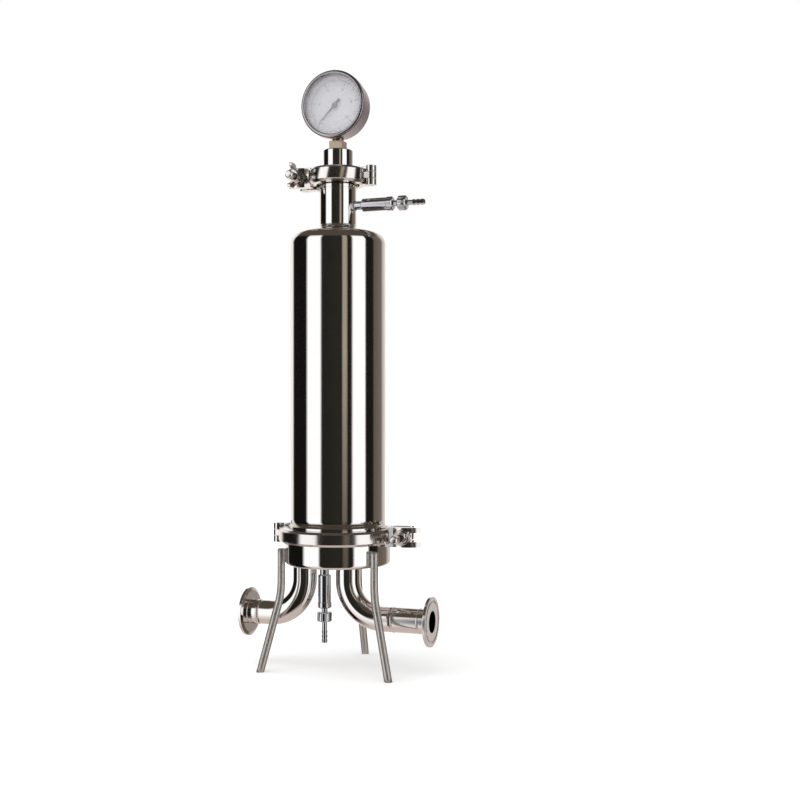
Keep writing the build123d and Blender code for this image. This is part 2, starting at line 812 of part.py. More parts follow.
# ================================================================ vent and drain valves
def make_valve(name, axis, wall_r, stub_od, stub, barrel, stem_gap, ring_od, ring, nozzle):
    """A bleed valve: barrel on a stub tube, gland, soft seal, and a spindle with grip and hose nozzle.

    `axis` has X across the valve and Y outward; the stub meets a wall of radius `wall_r`, or a flat one.
    """
    start = wall_r
    seat = start + stub + valve_seat_land
    barrel_end = start + stub + barrel
    gland_end = barrel_end + valve_gland_length
    grip_start = gland_end + stem_gap
    grip_end = grip_start + ring
    tip = grip_end + nozzle
    barrel_r = valve_barrel_od / 2
    spindle_r = valve_spindle / 2
    stem_r = valve_stem / 2
    shoulder = (barrel_r - stub_od / 2) / 2
    saddle = sqrt(wall_r**2 - (stub_od / 2) ** 2) if wall_r else 0
    with BuildPart() as body:
        turn(
            axis,
            [
                (valve_bore / 2, saddle),
                (stub_od / 2, saddle),
                (stub_od / 2, start + stub - shoulder),
                (barrel_r, start + stub),
                (barrel_r, barrel_end),
                (spindle_r + running_fit, barrel_end),
                (spindle_r + running_fit, seat),
                (valve_bore / 2, seat),
            ],
        )
        if wall_r:
            wall = Plane.XY.offset(axis.origin.Z - stub_od)
            with BuildSketch(wall) as tube_wall:
                Circle(wall_r)
            extrude(tube_wall.sketch, amount=2 * stub_od, mode=Mode.SUBTRACT)
    save(body, f"{name}_valve_body")

    with BuildPart() as gland:
        gland_r = valve_gland_od / 2
        turn(
            axis,
            [
                (spindle_r + running_fit, barrel_end),
                (gland_r, barrel_end),
                (gland_r, gland_end - grip_edge),
                (gland_r - grip_edge, gland_end),
                (stem_r + running_fit, gland_end),
                (stem_r + running_fit, gland_end - valve_retainer),
                (spindle_r + running_fit, gland_end - valve_retainer),
            ],
        )
    save(gland, f"{name}_valve_gland")

    with BuildPart() as seal:
        shank_end = seat + valve_seal_thickness + valve_lift + valve_shank
        bar(axis, valve_seal_od / 2, seat, seat + valve_seal_thickness)
        bar(axis, valve_nozzle_bore / 2 - running_fit, seat, shank_end)
    save(seal, f"{name}_valve_seal")

    with BuildPart() as spindle:
        inner_end = seat + valve_seal_thickness + valve_lift + seat_gap
        inlet = shank_end + valve_lift + valve_nozzle_bore
        guide = inlet + valve_nozzle_bore
        bar(axis, stem_r, inner_end, grip_start)
        bar(axis, spindle_r, guide, gland_end - valve_retainer - seat_gap)
        ring_r = ring_od / 2
        turn(
            axis,
            [
                (0, grip_start),
                (ring_r - grip_edge, grip_start),
                (ring_r, grip_start + grip_edge),
                (ring_r, grip_end - grip_edge),
                (ring_r - grip_edge, grip_end),
                (0, grip_end),
            ],
        )
        grip_plane = Plane(
            axis.origin + axis.y_dir * grip_start, x_dir=axis.x_dir, z_dir=axis.y_dir
        )
        with BuildSketch(grip_plane) as flutes:
            with PolarLocations(ring_r + grip_flute_radius / 2, grip_flutes):
                Circle(grip_flute_radius)
        extrude(flutes.sketch, amount=ring, mode=Mode.SUBTRACT)
        bar(axis, nozzle_od / 2, grip_end, tip)
        for step in range(nozzle_barbs):
            barb_end = tip - step * nozzle_barb_pitch
            turn(
                axis,
                [
                    (0, barb_end - nozzle_barb_pitch * 0.7),
                    (nozzle_barb_od / 2, barb_end - nozzle_barb_pitch * 0.7),
                    (nozzle_od / 2, barb_end),
                    (0, barb_end),
                ],
            )
        bar(axis, valve_nozzle_bore / 2, inner_end, tip, mode=Mode.SUBTRACT)
        across = axis_plane(axis.origin + axis.y_dir * inlet, axis.x_dir, axis.y_dir)
        bar(across, valve_nozzle_bore / 2, -stem_r, stem_r, mode=Mode.SUBTRACT)
    save(spindle, f"{name}_valve_spindle")


make_valve(
    "vent",
    vent_axis,
    neck_tube_od / 2,
    vent_stub_od,
    vent_stub_length,
    vent_barrel,
    vent_stem_gap,
    vent_ring_od,
    vent_ring_length,
    vent_nozzle,
)
make_valve(
    "drain",
    axis_plane((-drain_offset, 0, plate_bottom), (0, 0, -1), (1, 0, 0)),
    0,
    drain_stub_od,
    drain_stub_length,
    drain_barrel,
    drain_stem_gap,
    drain_ring_od,
    drain_ring_length,
    drain_nozzle,
)

# ================================================================ gauge
gauge_axis = axis_plane((0, 0, gauge_centre), (0, -1, 0), (1, 0, 0))
case_r = gauge_case_od / 2
lens_back = gauge_front - gauge_lip - gauge_lens_thickness
dial_back = lens_back - dial_setback
case_bottom = gauge_centre - case_r

with BuildPart() as gauge_case:
    turn(
        gauge_axis,
        [
            (0, -gauge_back),
            (case_r * 0.9, -gauge_back),
            (case_r, -gauge_back + case_r * 0.1),
            (case_r, lens_back),
            (case_r - gauge_wall, lens_back),
            (case_r - gauge_wall, -gauge_back + case_r * 0.1),
            (case_r * 0.9 - gauge_wall / 2, -gauge_back + gauge_wall),
            (0, -gauge_back + gauge_wall),
        ],
    )
    bar(upright, stem_neck_od / 2, case_bottom - gauge_wall, gauge_centre - case_r / 2, Mode.SUBTRACT)
save(gauge_case, "gauge_case")

with BuildPart() as gauge_bezel:
    bezel_r = gauge_bezel_od / 2
    rim_inside = case_r + running_fit
    sight_r = case_r - gauge_wall - gauge_lip / 2
    turn(
        gauge_axis,
        [
            (rim_inside, gauge_front - gauge_bezel_depth),
            (bezel_r - bezel_edge / 2, gauge_front - gauge_bezel_depth),
            (bezel_r, gauge_front - gauge_bezel_depth + bezel_edge / 2),
            (bezel_r, gauge_front - bezel_edge),
            (bezel_r - bezel_edge, gauge_front),
            (sight_r + bezel_edge, gauge_front),
            (sight_r, gauge_front - gauge_lip),
            (rim_inside, gauge_front - gauge_lip),
        ],
    )
save(gauge_bezel, "gauge_bezel")

with BuildPart() as gauge_lens:
    bar(gauge_axis, case_r, lens_back, lens_back + gauge_lens_thickness)
save(gauge_lens, "gauge_lens")

with BuildPart() as gauge_dial:
    dial_r = case_r - gauge_wall
    turn(
        gauge_axis,
        [
            (arbor_d, dial_back),
            (dial_r, dial_back),
            (dial_r, dial_back + dial_thickness),
            (arbor_d, dial_back + dial_thickness),
        ],
    )
save(gauge_dial, "gauge_dial")

movement_front = dial_back - movement_gap
with BuildPart() as gauge_stem:
    bar(
        upright,
        stem_thread_od / 2,
        adapter_top - stem_thread_length,
        adapter_top,
    )
    with BuildSketch(Plane.XY.offset(adapter_top)):
        Rectangle(stem_square, stem_square)
    extrude(amount=(case_bottom - adapter_top) * 0.75)
    bar(upright, stem_neck_od / 2, adapter_top, case_bottom + gauge_wall * 2)
    with BuildSketch(Plane.XY.offset(case_bottom + gauge_wall * 2)):
        Rectangle(stem_block, stem_block)
    extrude(amount=case_r - movement_size / 2 - gauge_wall * 2)
    bar(
        upright,
        valve_bore / 2,
        adapter_top - stem_thread_length,
        case_bottom + case_r / 3,
        mode=Mode.SUBTRACT,
    )
save(gauge_stem, "gauge_stem")

with BuildPart() as bourdon_tube:
    from_block = asin(stem_block / 2 / (bourdon_radius - bourdon_tube_od / 2))
    tube_start = axis_plane((0, 0, gauge_centre), (0, -1, 0), (sin(from_block), 0, -cos(from_block)))
    with BuildSketch(tube_start):
        with Locations((bourdon_radius, 0)):
            Circle(bourdon_tube_od / 2)
            Circle(bourdon_tube_od / 3, mode=Mode.SUBTRACT)
    revolve(axis=Axis((0, 0, gauge_centre), (0, -1, 0)), revolution_arc=bourdon_arc)
save(bourdon_tube, "bourdon_tube")

with BuildPart() as gauge_movement:
    for plate_front in (movement_front, movement_front - movement_depth):
        plate_plane = Plane((0, -plate_front, gauge_centre), x_dir=(1, 0, 0), z_dir=(0, 1, 0))
        with BuildSketch(plate_plane) as plate:
            RectangleRounded(movement_size, movement_size, movement_size / 8)
            Circle(arbor_d / 2 + running_fit, mode=Mode.SUBTRACT)
        extrude(plate.sketch, amount=movement_plate)
    pillar_plane = Plane((0, -movement_front, gauge_centre), x_dir=(1, 0, 0), z_dir=(0, 1, 0))
    with BuildSketch(pillar_plane) as pillars:
        with GridLocations(movement_size * 0.7, movement_size * 0.7, 2, 2):
            Circle(movement_size / 12)
    extrude(pillars.sketch, amount=movement_depth)
save(gauge_movement, "gauge_movement")

with BuildPart() as gauge_pointer:
    pointer_back = dial_back + dial_thickness + pointer_lift
    aim = radians(225)  # at rest the pointer is at the zero of its scale, down to the left
    aim_way = (cos(aim), 0, sin(aim))
    blade_plane = Plane((0, -pointer_back, gauge_centre), x_dir=aim_way, z_dir=(0, -1, 0))
    with BuildSketch(blade_plane) as blade:
        with BuildLine():
            Polyline(
                (-pointer_tail, -pointer_hub_od / 4),
                (0, -pointer_hub_od / 5),
                (pointer_length, -pointer_thickness / 3),
                (pointer_length, pointer_thickness / 3),
                (0, pointer_hub_od / 5),
                (-pointer_tail, pointer_hub_od / 4),
                close=True,
            )
        make_face()
        Circle(pointer_hub_od / 2)
    extrude(blade.sketch, amount=pointer_thickness)
    arbor_back = movement_front - movement_depth - movement_plate
    bar(gauge_axis, arbor_d / 2, arbor_back, pointer_back + 2 * pointer_thickness)
save(gauge_pointer, "gauge_pointer")

# ================================================================ cartridge socket and cartridge
tab_top = socket_rim - lock_tab_drop
tab_bottom = tab_top - lock_tab_height
socket_r = socket_bore / 2


def sector(start_angle, span, r_low, r_high, z_low, z_high, mode):
    """A piece of a ring, from one angle on, about the housing's axis."""
    way = (cos(radians(start_angle)), sin(radians(start_angle)), 0)
    plane = axis_plane((0, 0, 0), (0, 0, 1), way)
    turn(
        plane,
        [(r_low, z_low), (r_high, z_low), (r_high, z_high), (r_low, z_high)],
        arc=span,
        mode=mode,
    )


tab_angles = [30 + 360 / lock_tabs * n for n in range(lock_tabs)]

with BuildPart() as cartridge_socket:
    outer_r = socket_od / 2
    turn(
        upright,
        [
            (socket_r, plate_top),
            (outer_r, plate_top),
            (outer_r, socket_rim),
            (socket_r, socket_rim),
        ],
    )
    for angle in tab_angles:
        first = angle - lock_tab_width / 2 - lock_play
        tab_span = lock_tab_width + 2 * lock_play
        low = tab_bottom - seat_gap
        sector(
            first,
            tab_span + lock_twist,
            plug_od / 2,
            outer_r + tool_clear,
            low,
            tab_top + seat_gap,
            Mode.SUBTRACT,
        )
        sector(
            first + lock_twist,
            tab_span,
            plug_od / 2,
            outer_r + tool_clear,
            low,
            socket_rim + tool_clear,
            Mode.SUBTRACT,
        )
save(cartridge_socket, "cartridge_socket")

adapter_seat = socket_rim + seat_gap
plug_tip = adapter_seat - plug_length
ring_centre_r = socket_r - running_fit - o_ring_section / 2
ring_levels = [plug_tip + o_ring_section + n * o_ring_pitch for n in range(2)]
with BuildPart() as cartridge_adapter:
    turn(
        upright,
        [
            (plug_bore / 2, plug_tip),
            (plug_od / 2 - plug_edge, plug_tip),
            (plug_od / 2, plug_tip + plug_edge),
            (plug_od / 2, adapter_seat),
            (adapter_flange_od / 2, adapter_seat),
            (adapter_flange_od / 2, adapter_seat + adapter_flange),
            (plug_bore / 2, adapter_seat + adapter_flange),
        ],
    )
    for height in ring_levels:
        groove_half = o_ring_section * 0.55
        turn(
            upright,
            [
                (ring_centre_r - o_ring_section / 2, height - groove_half),
                (plug_od, height - groove_half),
                (plug_od, height + groove_half),
                (ring_centre_r - o_ring_section / 2, height + groove_half),
            ],
            mode=Mode.SUBTRACT,
        )
    for angle in tab_angles:
        sector(
            angle - lock_tab_width / 2,
            lock_tab_width,
            plug_bore / 2 + lock_tab_root,
            socket_od / 2 + lock_tab_reach,
            tab_bottom,
            tab_top,
            Mode.ADD,
        )
save(cartridge_adapter, "cartridge_adapter")

with BuildPart() as adapter_o_rings:
    for height in ring_levels:
        with BuildSketch(upright):
            with Locations((ring_centre_r, height)):
                Circle(o_ring_section / 2)
    revolve(axis=Axis.Z)
save(adapter_o_rings, "adapter_o_rings")

cartridge_foot = adapter_seat + adapter_flange
cartridge_head = cartridge_foot + cartridge_length
media_foot = cartridge_foot + cap_height
media_head = cartridge_head - cap_height
media_length = media_head - media_foot
cartridge_r = cartridge_od / 2
core_r = core_od / 2

with BuildPart() as cartridge_lower_cap:
    turn(
        upright,
        [
            (plug_bore / 2, cartridge_foot),
            (cartridge_r - cap_edge, cartridge_foot),
            (cartridge_r, cartridge_foot + cap_edge),
            (cartridge_r, media_foot),
            (plug_bore / 2, media_foot),
        ],
    )
save(cartridge_lower_cap, "cartridge_lower_cap")

with BuildPart() as cartridge_upper_cap:
    turn(
        upright,
        [
            (0, media_head),
            (cartridge_r, media_head),
            (cartridge_r, cartridge_head - cap_edge),
            (cartridge_r - cap_edge, cartridge_head),
            (0, cartridge_head),
        ],
    )
    for fin_plane in (Plane.XZ, Plane.YZ):
        with BuildSketch(fin_plane) as fin:
            with BuildLine():
                Polyline(
                    (-fin_width / 2, cartridge_head - cap_edge),
                    (fin_width / 2, cartridge_head - cap_edge),
                    (fin_width / 2, cartridge_head + fin_height / 2),
                    (fin_top / 2, cartridge_head + fin_height),
                    (-fin_top / 2, cartridge_head + fin_height),
                    (-fin_width / 2, cartridge_head + fin_height / 2),
                    close=True,
                )
            make_face()
        extrude(fin.sketch, amount=fin_thickness / 2, both=True)
save(cartridge_upper_cap, "cartridge_upper_cap")


def make_windowed_tube(name, outer_r, wall, rows, columns):
    """A tube between the end caps with rows of windows cut right through both of its sides."""
    pitch = media_length / rows
    width = 2 * outer_r * sin(radians(180 / columns)) * 0.6
    with BuildPart() as tube:
        turn(
            upright,
            [
                (outer_r - wall, media_foot),
                (outer_r, media_foot),
                (outer_r, media_head),
                (outer_r - wall, media_head),
            ],
        )
        for n in range(columns // 2):
            turned = 360 / columns * n
            way = (cos(radians(turned)), sin(radians(turned)), 0)
            middle_height = (media_foot + media_head) / 2
            with BuildSketch(Plane((0, 0, middle_height), x_dir=way, z_dir=(way[1], -way[0], 0))) as cut:
                with GridLocations(0, pitch, 1, rows):
                    Rectangle(width, pitch * 0.7)
            extrude(cut.sketch, amount=2 * outer_r, both=True, mode=Mode.SUBTRACT)
    save(tube, name)


make_windowed_tube("cartridge_cage", cartridge_r, cage_wall, cage_rows, cage_columns)
make_windowed_tube("cartridge_core", core_r, core_wall, core_rows, core_columns)

with BuildPart() as cartridge_pleats:

    def zigzag(outer_r, inner_r):
        """Points of a star outline, one fold out and one fold in for each pleat."""
        step = 180 / pleat_count
        folds = [(outer_r if n % 2 == 0 else inner_r, radians(n * step)) for n in range(2 * pleat_count)]
        return [(r * cos(a), r * sin(a)) for r, a in folds]

    with BuildSketch(Plane.XY.offset(media_foot)):
        with BuildLine():
            Polyline(*zigzag(pleat_outer_od / 2, pleat_inner_od / 2), close=True)
        make_face()
        with BuildLine():
            Polyline(
                *zigzag(pleat_outer_od / 2 - 4 * pleat_paper, pleat_inner_od / 2 - pleat_paper),
                close=True,
            )
        make_face(mode=Mode.SUBTRACT)
    extrude(amount=media_length)
save(cartridge_pleats, "cartridge_pleats")
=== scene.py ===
"""Hygienic cartridge filter housing on three rod legs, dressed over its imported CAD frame.

Laid out as an add-on: each operator dresses one group of pieces, and the last one sets the stage.
Shapes are worked out in millimetres on grids of points and put into metres when a mesh is made.
"""
import json
from math import acos, cos, pi, radians, sin, sqrt
from types import SimpleNamespace

import bmesh
import bpy
import numpy as np
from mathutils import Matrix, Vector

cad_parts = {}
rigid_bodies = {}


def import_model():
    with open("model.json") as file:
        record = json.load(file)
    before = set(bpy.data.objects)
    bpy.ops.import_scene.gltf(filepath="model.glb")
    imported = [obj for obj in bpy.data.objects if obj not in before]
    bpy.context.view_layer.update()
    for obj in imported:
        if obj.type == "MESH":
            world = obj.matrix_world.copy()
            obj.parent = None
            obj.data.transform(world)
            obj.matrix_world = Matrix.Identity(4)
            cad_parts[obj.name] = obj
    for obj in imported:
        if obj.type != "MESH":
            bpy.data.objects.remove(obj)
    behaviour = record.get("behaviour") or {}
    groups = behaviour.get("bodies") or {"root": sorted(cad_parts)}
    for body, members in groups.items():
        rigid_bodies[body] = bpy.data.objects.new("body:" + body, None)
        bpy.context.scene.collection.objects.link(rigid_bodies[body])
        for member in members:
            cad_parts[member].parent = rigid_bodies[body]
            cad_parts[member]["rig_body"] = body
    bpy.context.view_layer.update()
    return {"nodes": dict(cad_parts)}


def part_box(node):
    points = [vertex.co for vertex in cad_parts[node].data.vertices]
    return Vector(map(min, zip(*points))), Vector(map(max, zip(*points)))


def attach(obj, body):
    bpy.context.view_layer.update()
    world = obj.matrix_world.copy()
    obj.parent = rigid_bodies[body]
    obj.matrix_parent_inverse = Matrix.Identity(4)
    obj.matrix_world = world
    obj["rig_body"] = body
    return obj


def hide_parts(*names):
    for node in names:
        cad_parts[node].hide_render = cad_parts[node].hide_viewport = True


bl_info = {
    "name": "Cartridge filter housing",
    "version": (1, 0, 0),
    "blender": (4, 5, 0),
    "location": "View3D > Sidebar > Filter housing",
    "description": "Dresses a hygienic cartridge filter housing piece by piece",
    "category": "Object",
}

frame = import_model()
MM = 0.001
RIM_SLOPE = np.tan(radians(20))  # the back faces of clamped rims lean by 20 degrees
SHARP = radians(32)  # edges that turn more than this are rounded on copies of CAD nodes
TOUCH = 0.05  # rounding, in millimetres, of an edge that meets the next piece face to face


# ---------------------------------------------------------------- sizes a user may change
def size(name, value, text):
    """A length property: given in millimetres, kept in metres."""
    return bpy.props.FloatProperty(
        name=name, description=text, default=value * MM, min=0.0, unit="LENGTH", subtype="DISTANCE"
    )


def angle(name, value, text):
    """An angle property, given in degrees and kept in radians."""
    return bpy.props.FloatProperty(
        name=name, description=text, default=radians(value), unit="ROTATION", subtype="ANGLE"
    )


def number(name, value, text):
    """A plain number property."""
    return bpy.props.FloatProperty(name=name, description=text, default=value, min=0.0)


def colour(name, hex_code, text):
    """A colour property, given as sRGB hex and kept linear."""
    return bpy.props.FloatVectorProperty(
        name=name, description=text, default=linear(hex_code), size=4, min=0.0, max=1.0, subtype="COLOR"
    )


def linear(hex_code):
    """sRGB hex to linear RGBA: below 0.04045 divided by 12.92, else ((c + 0.055) / 1.055) to the power 2.4."""
    c = np.array([int(hex_code[i:i + 2], 16) for i in (0, 2, 4)]) / 255
    c = np.where(c <= 0.04045, c / 12.92, ((c + 0.055) / 1.055) ** 2.4)
    return (*[float(v) for v in c], 1.0)


def in_mm(group):
    """The lengths of a property group in millimetres, by name; angles stay in radians."""
    values = {}
    for key, prop in group.bl_rna.properties.items():
        if key in ("rna_type", "name"):
            continue
        value = getattr(group, key)
        values[key] = value / MM if getattr(prop, "unit", "") == "LENGTH" else value
    return SimpleNamespace(**values)


class PortSizes(bpy.types.PropertyGroup):
    """Sizes of the two ports under the base."""

    tube: size("Tube diameter", 25.4, "Outside of the port tubes")
    wall: size("Tube wall", 1.65, "Wall of the port tubes")
    bend: size("Bend radius", 38.1, "Centre line radius of both elbows")
    height: size("Port height", 54.0, "Port axes above the floor")
    riser: size("Riser", 16.4, "Straight tube between base and bend")
    tangent: size("Tangent", 12.7, "Straight tube after the bend")
    reach: size("Reach", 102.0, "Port faces from the axis")
    inlet: size("Inlet offset", 37.0, "Inlet riser from the axis")
    outlet: size("Outlet offset", 11.0, "Outlet riser from the axis")
    rim: size("Ferrule diameter", 50.5, "Clamped rim of the ferrules")
    rim_back: size("Ferrule back", 43.5, "Where the tapered back face ends")
    rim_edge: size("Rim thickness", 2.85, "Edge of the clamped rim")
    seam: size("Seam height", 0.28, "Dressed weld seam above the tube")
    root_bead: size("Root bead", 0.9, "Half the weld bead where a tube leaves the base")
    ferrule: size("Ferrule length", 12.7, "Outlet ferrule from its face to its seam")
    groove: size("Groove", 2.1, "Width of the gasket groove in a ferrule's face")
    groove_depth: size("Groove depth", 1.1, "Depth of the gasket groove")
    groove_side: size("Groove side", 0.35, "How far a side of the groove leans in")


class BaseSizes(bpy.types.PropertyGroup):
    """Sizes of the turned base and its legs."""

    drum: size("Drum diameter", 109.0, "Outside of the base")
    floor: size("Floor level", 108.5, "Underside of the base")
    top: size("Drum top", 131.5, "Shoulder under the clamp")
    edge: size("Drum edge", 4.0, "Rounding of the lower edge")
    neck: size("Groove diameter", 100.0, "Bottom of the clamp's groove")
    flange: size("Flange diameter", 112.0, "Clamped rims")
    bore: size("Bore", 95.0, "Inside of base and bell")
    bore_depth: size("Bore depth", 2.25, "Straight bore below the drum's top")
    widening: size("Widening", 2.5, "Height in which the bore widens to the drum's wall")
    wall: size("Drum wall", 4.5, "Wall of the drum")
    plate: size("Base plate", 6.0, "Thickness of the base's floor")
    joint: size("Joint level", 138.95, "Middle of the main gasket")
    gasket: size("Gasket", 1.6, "Gasket between the rims")
    rim: size("Rim thickness", 2.9, "Edge of the clamped rims")
    rod: size("Leg rod", 8.0, "Diameter of the legs")
    leg_top: size("Leg top", 125.5, "Where the legs end on the drum")
    knee: size("Knee level", 80.0, "Where the legs bend outward")
    knee_radius: size("Knee radius", 90.0, "Centre line radius of the knee")
    foot: size("Foot circle", 80.0, "Feet from the axis")
    rod_end: size("Rod end", 0.45, "Rounding of a leg's upper end")
    weld_foot: size("Weld foot", 4.6, "Leg welds start above the base's underside")
    weld_top: size("Weld top", 0.6, "Leg welds end below the leg's top")
    weld_aside: size("Weld offset", 1.75, "Leg welds from the middle of the rod")
    weld_out: size("Weld depth", 0.35, "Middle of a leg weld outside the drum")
    bead_out: size("Bead depth", 1.15, "Half a leg weld, away from the drum")
    bead_side: size("Bead width", 1.35, "Half a leg weld, round the drum")


class BellSizes(bpy.types.PropertyGroup):
    """Sizes of the bell and its neck."""

    outside: size("Bell diameter", 98.0, "Outside of the bell")
    wall: size("Bell wall", 1.5, "Wall of the bell")
    foot: size("Bell foot", 148.55, "Top of the flange hub")
    shoulder: size("Shoulder level", 437.55, "End of the straight side")
    knuckle: size("Knuckle radius", 12.0, "Rounding between side and crown")
    crown: size("Crown radius", 150.0, "Dished crown")
    collar: size("Collar radius", 4.0, "Dressed fillet between crown and neck")
    collar_sink: size("Collar sink", 0.35, "Outer rim of the collar below the crown's line")
    neck: size("Neck diameter", 38.1, "Tube above the crown")
    neck_wall: size("Neck wall", 1.65, "Wall of the neck tube")
    ferrule_foot: size("Ferrule foot", 493.388, "Seam between neck tube and ferrule")
    joint: size("Top joint", 506.888, "Middle of the top gasket")
    rim: size("Ferrule diameter", 50.5, "Clamped rims of the top joint")
    rim_back: size("Ferrule back", 43.5, "Where the tapered back face ends")
    rim_edge: size("Rim thickness", 2.85, "Edge of the clamped rims")
    gasket: size("Gasket", 1.6, "Gasket of the top joint")
    seam: size("Seam height", 0.12, "Dressed seam between neck tube and ferrule")
    thread: size("Thread", 13.2, "Bore for the gauge's stem")
    thread_depth: size("Thread depth", 9.0, "Depth of the bore for the gauge's stem")
    boss: size("Boss diameter", 31.0, "Gauge boss")
    boss_top: size("Boss top", 534.688, "Seat of the gauge")


class ValveSizes(bpy.types.PropertyGroup):
    """Sizes shared by the vent and drain valves."""

    barrel: size("Barrel diameter", 13.5, "Valve barrel")
    gland: size("Gland diameter", 14.5, "Gland nut")
    gland_length: size("Gland length", 6.0, "Gland nut")
    bore: size("Spindle bore", 8.1, "Bore round the spindle")
    stem: size("Stem bore", 6.3, "Gland's lip round the stem")
    passage: size("Passage", 5.0, "Bore of the stub")
    lip: size("Gland lip", 2.0, "Thickness of the gland's lip round the stem")
    bore_foot: size("Bore foot", 1.5, "Spindle bore starts behind the barrel's shoulder")
    saddle: size("Saddle", 0.55, "How far the vent's stub reaches into the neck tube")
    vent_stub: size("Vent stub", 9.0, "Diameter of the vent's stub")
    vent_shoulder: size("Vent shoulder", 9.0, "Vent barrel from the neck tube")
    drain_stub: size("Drain stub", 10.0, "Diameter of the drain's stub")
    drain_shoulder: size("Drain shoulder", 12.5, "Drain barrel from the base")
    bead: size("Stub bead", 0.7, "Height of the weld bead round a stub")
    vent_level: size("Vent level", 476.888, "Axis of the vent valve")
    drain_offset: size("Drain offset", 15.0, "Axis of the drain valve from the axis")
    edge: size("Spindle edges", 0.35, "Broken edges of the spindles")
    seal_edge: size("Seal edges", 0.3, "Broken edges of the seals")


class ClampSizes(bpy.types.PropertyGroup):
    """Edges of the cast clamps."""

    edge: size("Casting edge", 0.5, "Tumbled edges of the halves")
    wing_edge: size("Wing nut edge", 0.8, "Tumbled edges of the wing nuts")
    pin_edge: size("Pin edge", 0.4, "Broken edges of pins, bolts and washers")


class GaugeSizes(bpy.types.PropertyGroup):
    """Sizes of the pressure gauge."""

    level: size("Centre level", 579.488, "Centre of the dial")
    case: size("Case diameter", 64.4, "Outside of the case")
    bezel: size("Bezel diameter", 69.0, "Outside of the bezel")
    front: size("Front", 17.0, "Bezel front from the stem's axis")
    back: size("Back", 12.0, "Case back from the stem's axis")
    wall: size("Wall", 1.2, "Wall of the case")
    lip: size("Lip", 1.8, "Bezel lip over the lens")
    bezel_depth: size("Bezel depth", 10.5, "Bezel from its front to its rolled edge")
    bezel_roll: size("Bezel roll", 0.6, "Rolled rear edge of the bezel")
    lens: size("Lens", 2.0, "Thickness of the lens")
    dial_back: size("Dial back", 7.0, "Back of the dial from the stem's axis")
    dial: size("Dial", 0.8, "Thickness of the dial")
    dial_hole: size("Dial hole", 4.0, "Hole for the pointer's arbor")
    scale_radius: size("Scale radius", 26.5, "Outer end of the tick marks")
    long_tick: size("Long tick", 4.4, "Length of the tick at each number")
    middle_tick: size("Middle tick", 3.2, "Length of the tick half way between numbers")
    short_tick: size("Short tick", 2.2, "Length of the other ticks")
    number_inset: size("Number inset", 8.6, "Middle of the numbers inside the scale radius")
    number_height: size("Number height", 4.2, "Height of the numbers")
    sweep: angle("Scale sweep", 270.0, "From the first to the last mark")
    divisions: bpy.props.IntProperty(name="Numbers", description="Numbered steps of the scale", default=5)
    stem_edge: size("Stem edge", 0.4, "Broken edges of the stem")
    pointer_edge: size("Pointer edge", 0.08, "Broken edges of the pointer")


class StageSizes(bpy.types.PropertyGroup):
    """Camera, floor and light."""

    distance: size("Camera distance", 1200.0, "Camera from the housing's axis")
    height: size("Camera height", 265.0, "Camera above the floor")
    azimuth: angle("Camera azimuth", 22.0, "Camera round the axis, from the front to the right")
    aim: angle("Aim", 3.06, "Turn of the camera to the right of the axis")
    focal_length: number("Focal length", 52.2, "Camera lens in millimetres on a 36 mm sensor")
    rise: number("Lens rise", 0.015, "Upward shift of the lens, as a share of the sensor")
    floor: size("Floor size", 9000.0, "Side of the floor")
    key: number("Softbox power", 9.0, "Watts of the overhead softbox")
    ambient: number("Ambient", 0.72, "Strength of the even light")
    reflections: number("Reflections", 1.3, "Strength of the cards that polished steel shows")


class FinishColours(bpy.types.PropertyGroup):
    """Base colours of the finishes."""

    polished_steel: colour("Polished steel", "E6E4E2", "Tubes and spinnings")
    leg_steel: colour("Leg steel", "DCD8D4", "Drawn rod of the legs")
    # Darker than the tube steel as painted shade: it stands in for the dark reflections on the case and bezel.
    gauge_steel: colour("Gauge steel", "AFAAAE", "Pressed case and bezel")
    cast_steel: colour("Cast steel", "E0DCD9", "Clamps and wing nuts")
    valve_steel: colour("Valve steel", "CFD2D8", "Turned valves")
    stem_brass: colour("Stem brass", "B5A68F", "Gauge stem and works")
    gasket_rubber: colour("Gaskets", "D8D4CE", "Silicone gaskets")
    o_ring_rubber: colour("O-rings", "1C1B1B", "EPDM O-rings")
    seal_ptfe: colour("Valve seals", "F0EFEC", "PTFE seals")
    dial_enamel: colour("Dial", "F3F1F7", "Enamel of the dial")
    dial_print: colour("Dial print", "77747F", "Ink of ticks and numbers")
    pointer_black: colour("Pointer", "4A474F", "Lacquer of the pointer")
    # With the lens's alpha this white lays a pale veil over the dial: painted sheen for glare on the glass.
    lens_glass: colour("Lens", "F4F5F8", "Tint of the glass")
    cartridge_plastic: colour("Cartridge plastic", "E9E8E3", "Moulded cartridge parts")
    pleat_membrane: colour("Pleats", "F1F0EB", "Pleated membrane")


